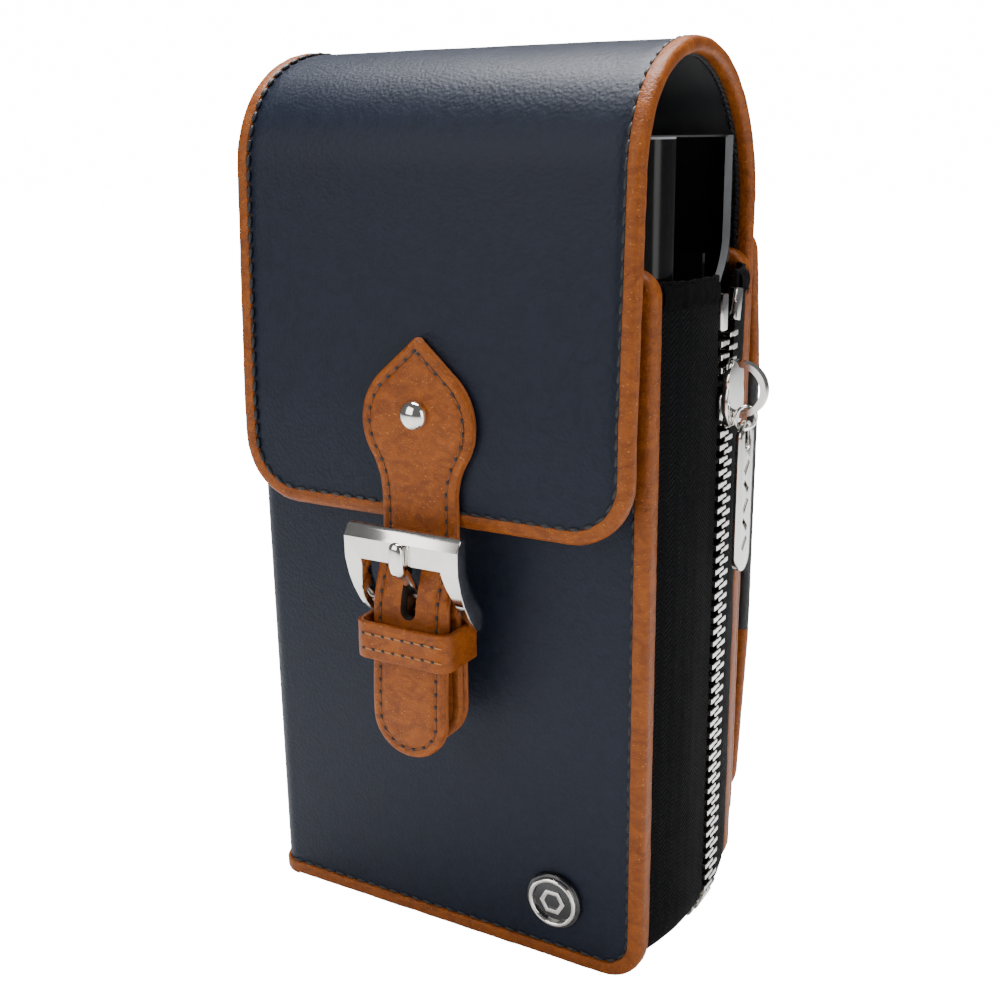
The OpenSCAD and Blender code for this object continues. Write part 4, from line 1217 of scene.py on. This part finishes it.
# ---- Buckle strap and keeper ----
# A folded two-ply strip holds the buckle's bar and carries the press stud; a leather
# keeper with two rows of stitches holds it and the free strap together.
def chape_place(s, depth):
    """y and z of the point s mm along the folded strip, depth mm under its outer face."""
    if s < 28.5:
        return -35.62 + depth, 49.0 + s
    s -= 28.5
    if s < 2.45 * math.pi:
        a = math.pi - s / 2.45
        return -33.8 + (2.45 - depth) * math.cos(a), 78 + (2.45 - depth) * math.sin(a)
    s -= 2.45 * math.pi
    return -32.0 - depth, 77.6 - s


CHAPE_RUN = 28.5 + 2.45 * math.pi + 28.6
outline = arc(0, 9.5, 9.5, 180, 360, 24) + arc(0, CHAPE_RUN - 9.5, 9.5, 0, 180, 24)
bm = layered(outline, ((0, 0.5), (0.2, 0.14), (0.6, 0.0), (1.6, 0.0), (1.85, 0.14), (2.1, 0.0)),
             ((0, 1.2), (0.3, 1.58), (0.8, 1.62)))
cut_across(bm, 2, steps(1, 27, 14) + steps(26, 39, 24) + steps(39, CHAPE_RUN - 1, 14))
for v in bm.verts:
    v.co.y, v.co.z = chape_place(v.co.z, v.co.y)
strip = make_piece(bm, "buckle_strap", strap_leather, "strap_end", ("chape",), smooth=50,
                   edge=edge_paint)
gap = plate([[(-2.2, 75.3), (2.2, 75.3), (2.2, 84), (-2.2, 84)]], 12, 0)
bmesh.ops.translate(gap, vec=(0, -40, 0), verts=gap.verts)
carve(strip, gap, edge_paint)


outer = arc(8.0, -39.5, 3.0, -90, 0, 8) + arc(10.0, -31.8, 1.0, 0, 90, 4)
inner = arc(8.0, -39.55, 1.75, -90, 0, 8) + arc(9.35, -32.3, 0.4, 0, 90, 4)
bm = plate([loop + [(-x, y) for x, y in reversed(loop)] for loop in (outer, inner)], 7.6, 0.35, 3)
# drawn with y and z swapped, so that the band's width stands up
for v in bm.verts:
    v.co.y, v.co.z = v.co.z, 68.2 + v.co.y
cut_across(bm, 0, steps(-9, 9, 12))
cut_across(bm, 2, (70.0, 72.0, 74.0))
roughen(bm, 0.10, 4.0)
make_piece(bm, "keeper_band", strap_leather, "strap_end", ("keeper",), smooth=45)
# painted shade: black beads at the stitch holes stand for the shade in them; the gold thread runs between
holes, thread = bmesh.new(), bmesh.new()
gold_thread = plain("gold_thread", (0.40, 0.17, 0.045), 0.6, grain=6000.0)
for z in (70.4, 73.5):
    for k in range(8):
        x = -8.4 + k * 2.3
        add_stitch(holes, Vector((x, -42.46, z)), Vector((1, 0, 0)), 0.9, 0.32, 0.2, 2)
        add_stitch(thread, Vector((x + 1.27, -42.5, z)), Vector((1, 0, 0)), 2.1, 0.17, 0.06, 2)
make_piece(holes, "keeper_hole_shade", black_thread_and_hole_shade, "strap_end")
make_piece(thread, "keeper_thread", gold_thread, "strap_end")


# ---- Press stud ----
# Nickel press stud: the domed cap and the socket on the folded strip, the stud on
# the front panel.
cap = lathe([(0, -3.6), (1.5, -3.6), (1.5, 0.0)] + dome(4.8, 1.35, 0.3), (0, -35.62, 59))
make_piece(cap, "stud_cap", nickel, "strap_end", ("snap_cap",), smooth=50)
socket = lathe([(3.1, 1.0), (3.1, 0.15), (3.3, 0), (4.3, 0), (4.6, 0.3), (4.6, 1.9), (4.0, 2.55), (3.0, 2.6),
                (0, 2.6), (0, 1.6),
                (3.1, 1.6), (3.1, 1.0)], (0, -29.4, 59))
make_piece(socket, "stud_socket", nickel, "strap_end", ("snap_socket",), smooth=50)
stud = lathe([(0, 0), (4.6, 0), (4.6, 0.5), (4.3, 0.8), (1.9, 0.9), (1.5, 1.4), (1.5, 3.0), (1.9, 3.6),
              (2.0, 4.1), (1.7, 4.7), (1.0, 5.0),
              (0, 5.0)], (0, -25, 59))
make_piece(stud, "stud_post", nickel, "front_cover", ("snap_stud",), smooth=50)


# ---- Buckle ----
# Cast nickel buckle: a wide top bar with a bevelled upper strip and two rails that
# narrow and sweep back to the pivot bar.
BUCKLE_SIDE = ((95.0, -39.7, -38.6), (92.7, -41.3, -38.0), (88.2, -41.2, -38.0), (84.6, -40.2, -36.8),
               (81.4, -38.9, -34.6),
               (78.0, -36.9, -32.2), (75.6, -34.9, -31.9), (74.3, -33.2, -32.2))


def buckle_y(z, t):
    """y of the buckle at a height: t 0 on its front, 1 on its back."""
    for (z1, f1, b1), (z0, f0, b0) in zip(BUCKLE_SIDE, BUCKLE_SIDE[1:]):
        if z >= z0:
            k = min(1.0, (z - z0) / (z1 - z0))
            return (f0 + (f1 - f0) * k) * (1 - t) + (b0 + (b1 - b0) * k) * t
    return BUCKLE_SIDE[-1][1] * (1 - t) + BUCKLE_SIDE[-1][2] * t


half = [(9.1, 88.4), (9.1, 87.2), (9.5, 85.4), (10.3, 82.6), (11.2, 79.4), (11.55, 76.5), (11.7, 74.6),
        (12.1, 74.3), (12.6, 74.7),
        (12.9, 77), (13.0, 80), (13.0, 86), (13.0, 94.7), (12.7, 95.0)]
outline = half + [(-x, z) for x, z in reversed(half)]
bm = plate([outline], 3.0, 0.0)
cut_across(bm, 2, [92.7, 88.2] + steps(74.5, 88.2, 22) + [94.3])
rims = [e for e in bm.edges if e.is_manifold and e.calc_face_angle() > 0.9 and abs(e.verts[0].co.y - e.verts[1].co.y) < 0.01]
bmesh.ops.bevel(bm, geom=rims, offset=0.22, offset_type="OFFSET", affect="EDGES", segments=2, profile=0.5,
                material=-1)
for v in bm.verts:
    v.co.y = buckle_y(v.co.z, v.co.y / 3.0)
bar = bmesh.new()
bmesh.ops.create_cone(bar, cap_ends=True, segments=24, radius1=1.2, radius2=1.2, depth=23.2,
                      matrix=Matrix.Translation((0, -33.8, 78)) @ Matrix.Rotation(math.pi / 2, 4, "Y"))
join_into(bm, bar)
make_piece(bm, "buckle", nickel, "buckle", ("buckle_frame",), smooth=22)


# ---- Prong ----
# Nickel prong looped round the bar; it comes through the strap's slot and its thick
# rounded end rests on the top bar.
def rod(path, sizes, sides=20, squareness=0.0):
    """A rod along a path in y and z: sizes are its half width across x and its half height."""
    bm = bmesh.new()
    rings = []
    for i, (y, z) in enumerate(path):
        a, b = path[max(0, i - 1)], path[min(len(path) - 1, i + 1)]
        way = Vector((b[0] - a[0], b[1] - a[1])).normalized()
        across = Vector((-way.y, way.x))
        w, h = sizes[i]
        ring = []
        for k in range(sides):
            c, s = math.cos(math.tau * k / sides), math.sin(math.tau * k / sides)
            c = math.copysign(abs(c) ** (1 - squareness), c)
            s = math.copysign(abs(s) ** (1 - squareness), s)
            ring.append(bm.verts.new((w * c, y + across.x * h * s, z + across.y * h * s)))
        rings.append(ring)
    for low, high in zip(rings, rings[1:]):
        for k in range(sides):
            bm.faces.new((low[k], low[(k + 1) % sides], high[(k + 1) % sides], high[k]))
    bm.faces.new(rings[0])
    bm.faces.new(rings[-1])
    return bm


shaft = [(-33.8 + 1.75 * math.cos(math.radians(a)),
          78 + 1.75 * math.sin(math.radians(a))) for a in range(-150, 131, 20)]
shaft += [(-36.6, 81.6), (-38.4, 84.2), (-39.9, 86.3), (-41.2, 87.6)]
bm = rod(shaft, [(1.3, 0.42)] * 15 + [(1.3, 0.5), (1.3, 0.7), (1.35, 0.8), (1.4, 0.9)][:len(shaft) - 15],
         squareness=0.3)
head = [(-40.9, 86.0), (-41.35, 86.5), (-41.95, 87.4), (-42.25, 88.5), (-42.3, 90.5), (-42.3, 92.0),
        (-42.25, 92.8), (-42.15, 93.2)]
join_into(bm, rod(head, [(0.9, 0.5), (1.35, 0.85), (1.6, 0.95), (1.65, 0.98), (1.65, 0.98), (1.6, 0.95),
                         (1.25, 0.75), (0.6, 0.35)],
                  squareness=0.15))
make_piece(bm, "prong", nickel, "prong", ("buckle_prong",), smooth=50)


# ---- Badge ----
# Round badge pinned near the lower corner: a black enamel disc with a raised nickel
# ring and a plain hexagon outline.
black_enamel = plain("black_enamel", (0.008, 0.008, 0.010), 0.14, grain=600.0, depth=0.000004, coat=0.5)
make_piece(lathe([(0, 0), (6.2, 0), (6.2, 0.9), (6.08, 1.2), (5.8, 1.3), (0, 1.3)], (25.1, -25, 14.4), 72),
           "badge_base", black_enamel,
           "front_cover", ("badge_disc",), smooth=50)
make_piece(lathe([(4.5, 1.3), (5.5, 1.3), (5.5, 1.65), (5.35, 1.95), (5.0, 2.05), (4.65, 1.95), (4.5, 1.65),
                  (4.5, 1.3)], (25.1, -25, 14.4), 72),
           "badge_hoop", nickel, "front_cover", ("badge_ring",), smooth=60)
hexagons = [[(25.1 + r * math.cos(math.radians(60 * k)),
              14.4 + r * math.sin(math.radians(60 * k))) for k in range(6)] for r in (2.9, 1.9)]
bm = plate(hexagons, 0.35, 0.08, 2)
bmesh.ops.translate(bm, vec=(0, -26.65, 0), verts=bm.verts)
make_piece(bm, "badge_hexagon", nickel, "front_cover", ("badge_motif",), smooth=30)


# ---- Boards, linings and floor strips ----
# What shows only inside: fibre boards under the leather, black linings, the leather
# floor strips beside the spine and the tray's partition and rim strip.
fibre_board = plain("fibre_board", (0.20, 0.17, 0.13), 0.85, grain=1500.0, depth=0.00006, vary=0.2)
black_cloth = ribbed("black_cloth", (0.004, 0.004, 0.005), 0.8, 0.05, "Z", 0.00012)
for names, material in ((("front_board", "back_board"), fibre_board),
                        (("front_lining", "back_lining"), black_cloth),
                        (("gusset_front", "gusset_rear"), navy_leather),
                        (("tray_partition",), smoked_plastic),
                        # the tray's rim strip takes the pale painted highlight
                        (("tray_rim",), painted_edge_highlight)):
    for name in names:
        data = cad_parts[name].data
        data.materials.clear()
        data.materials.append(material)

low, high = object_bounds()
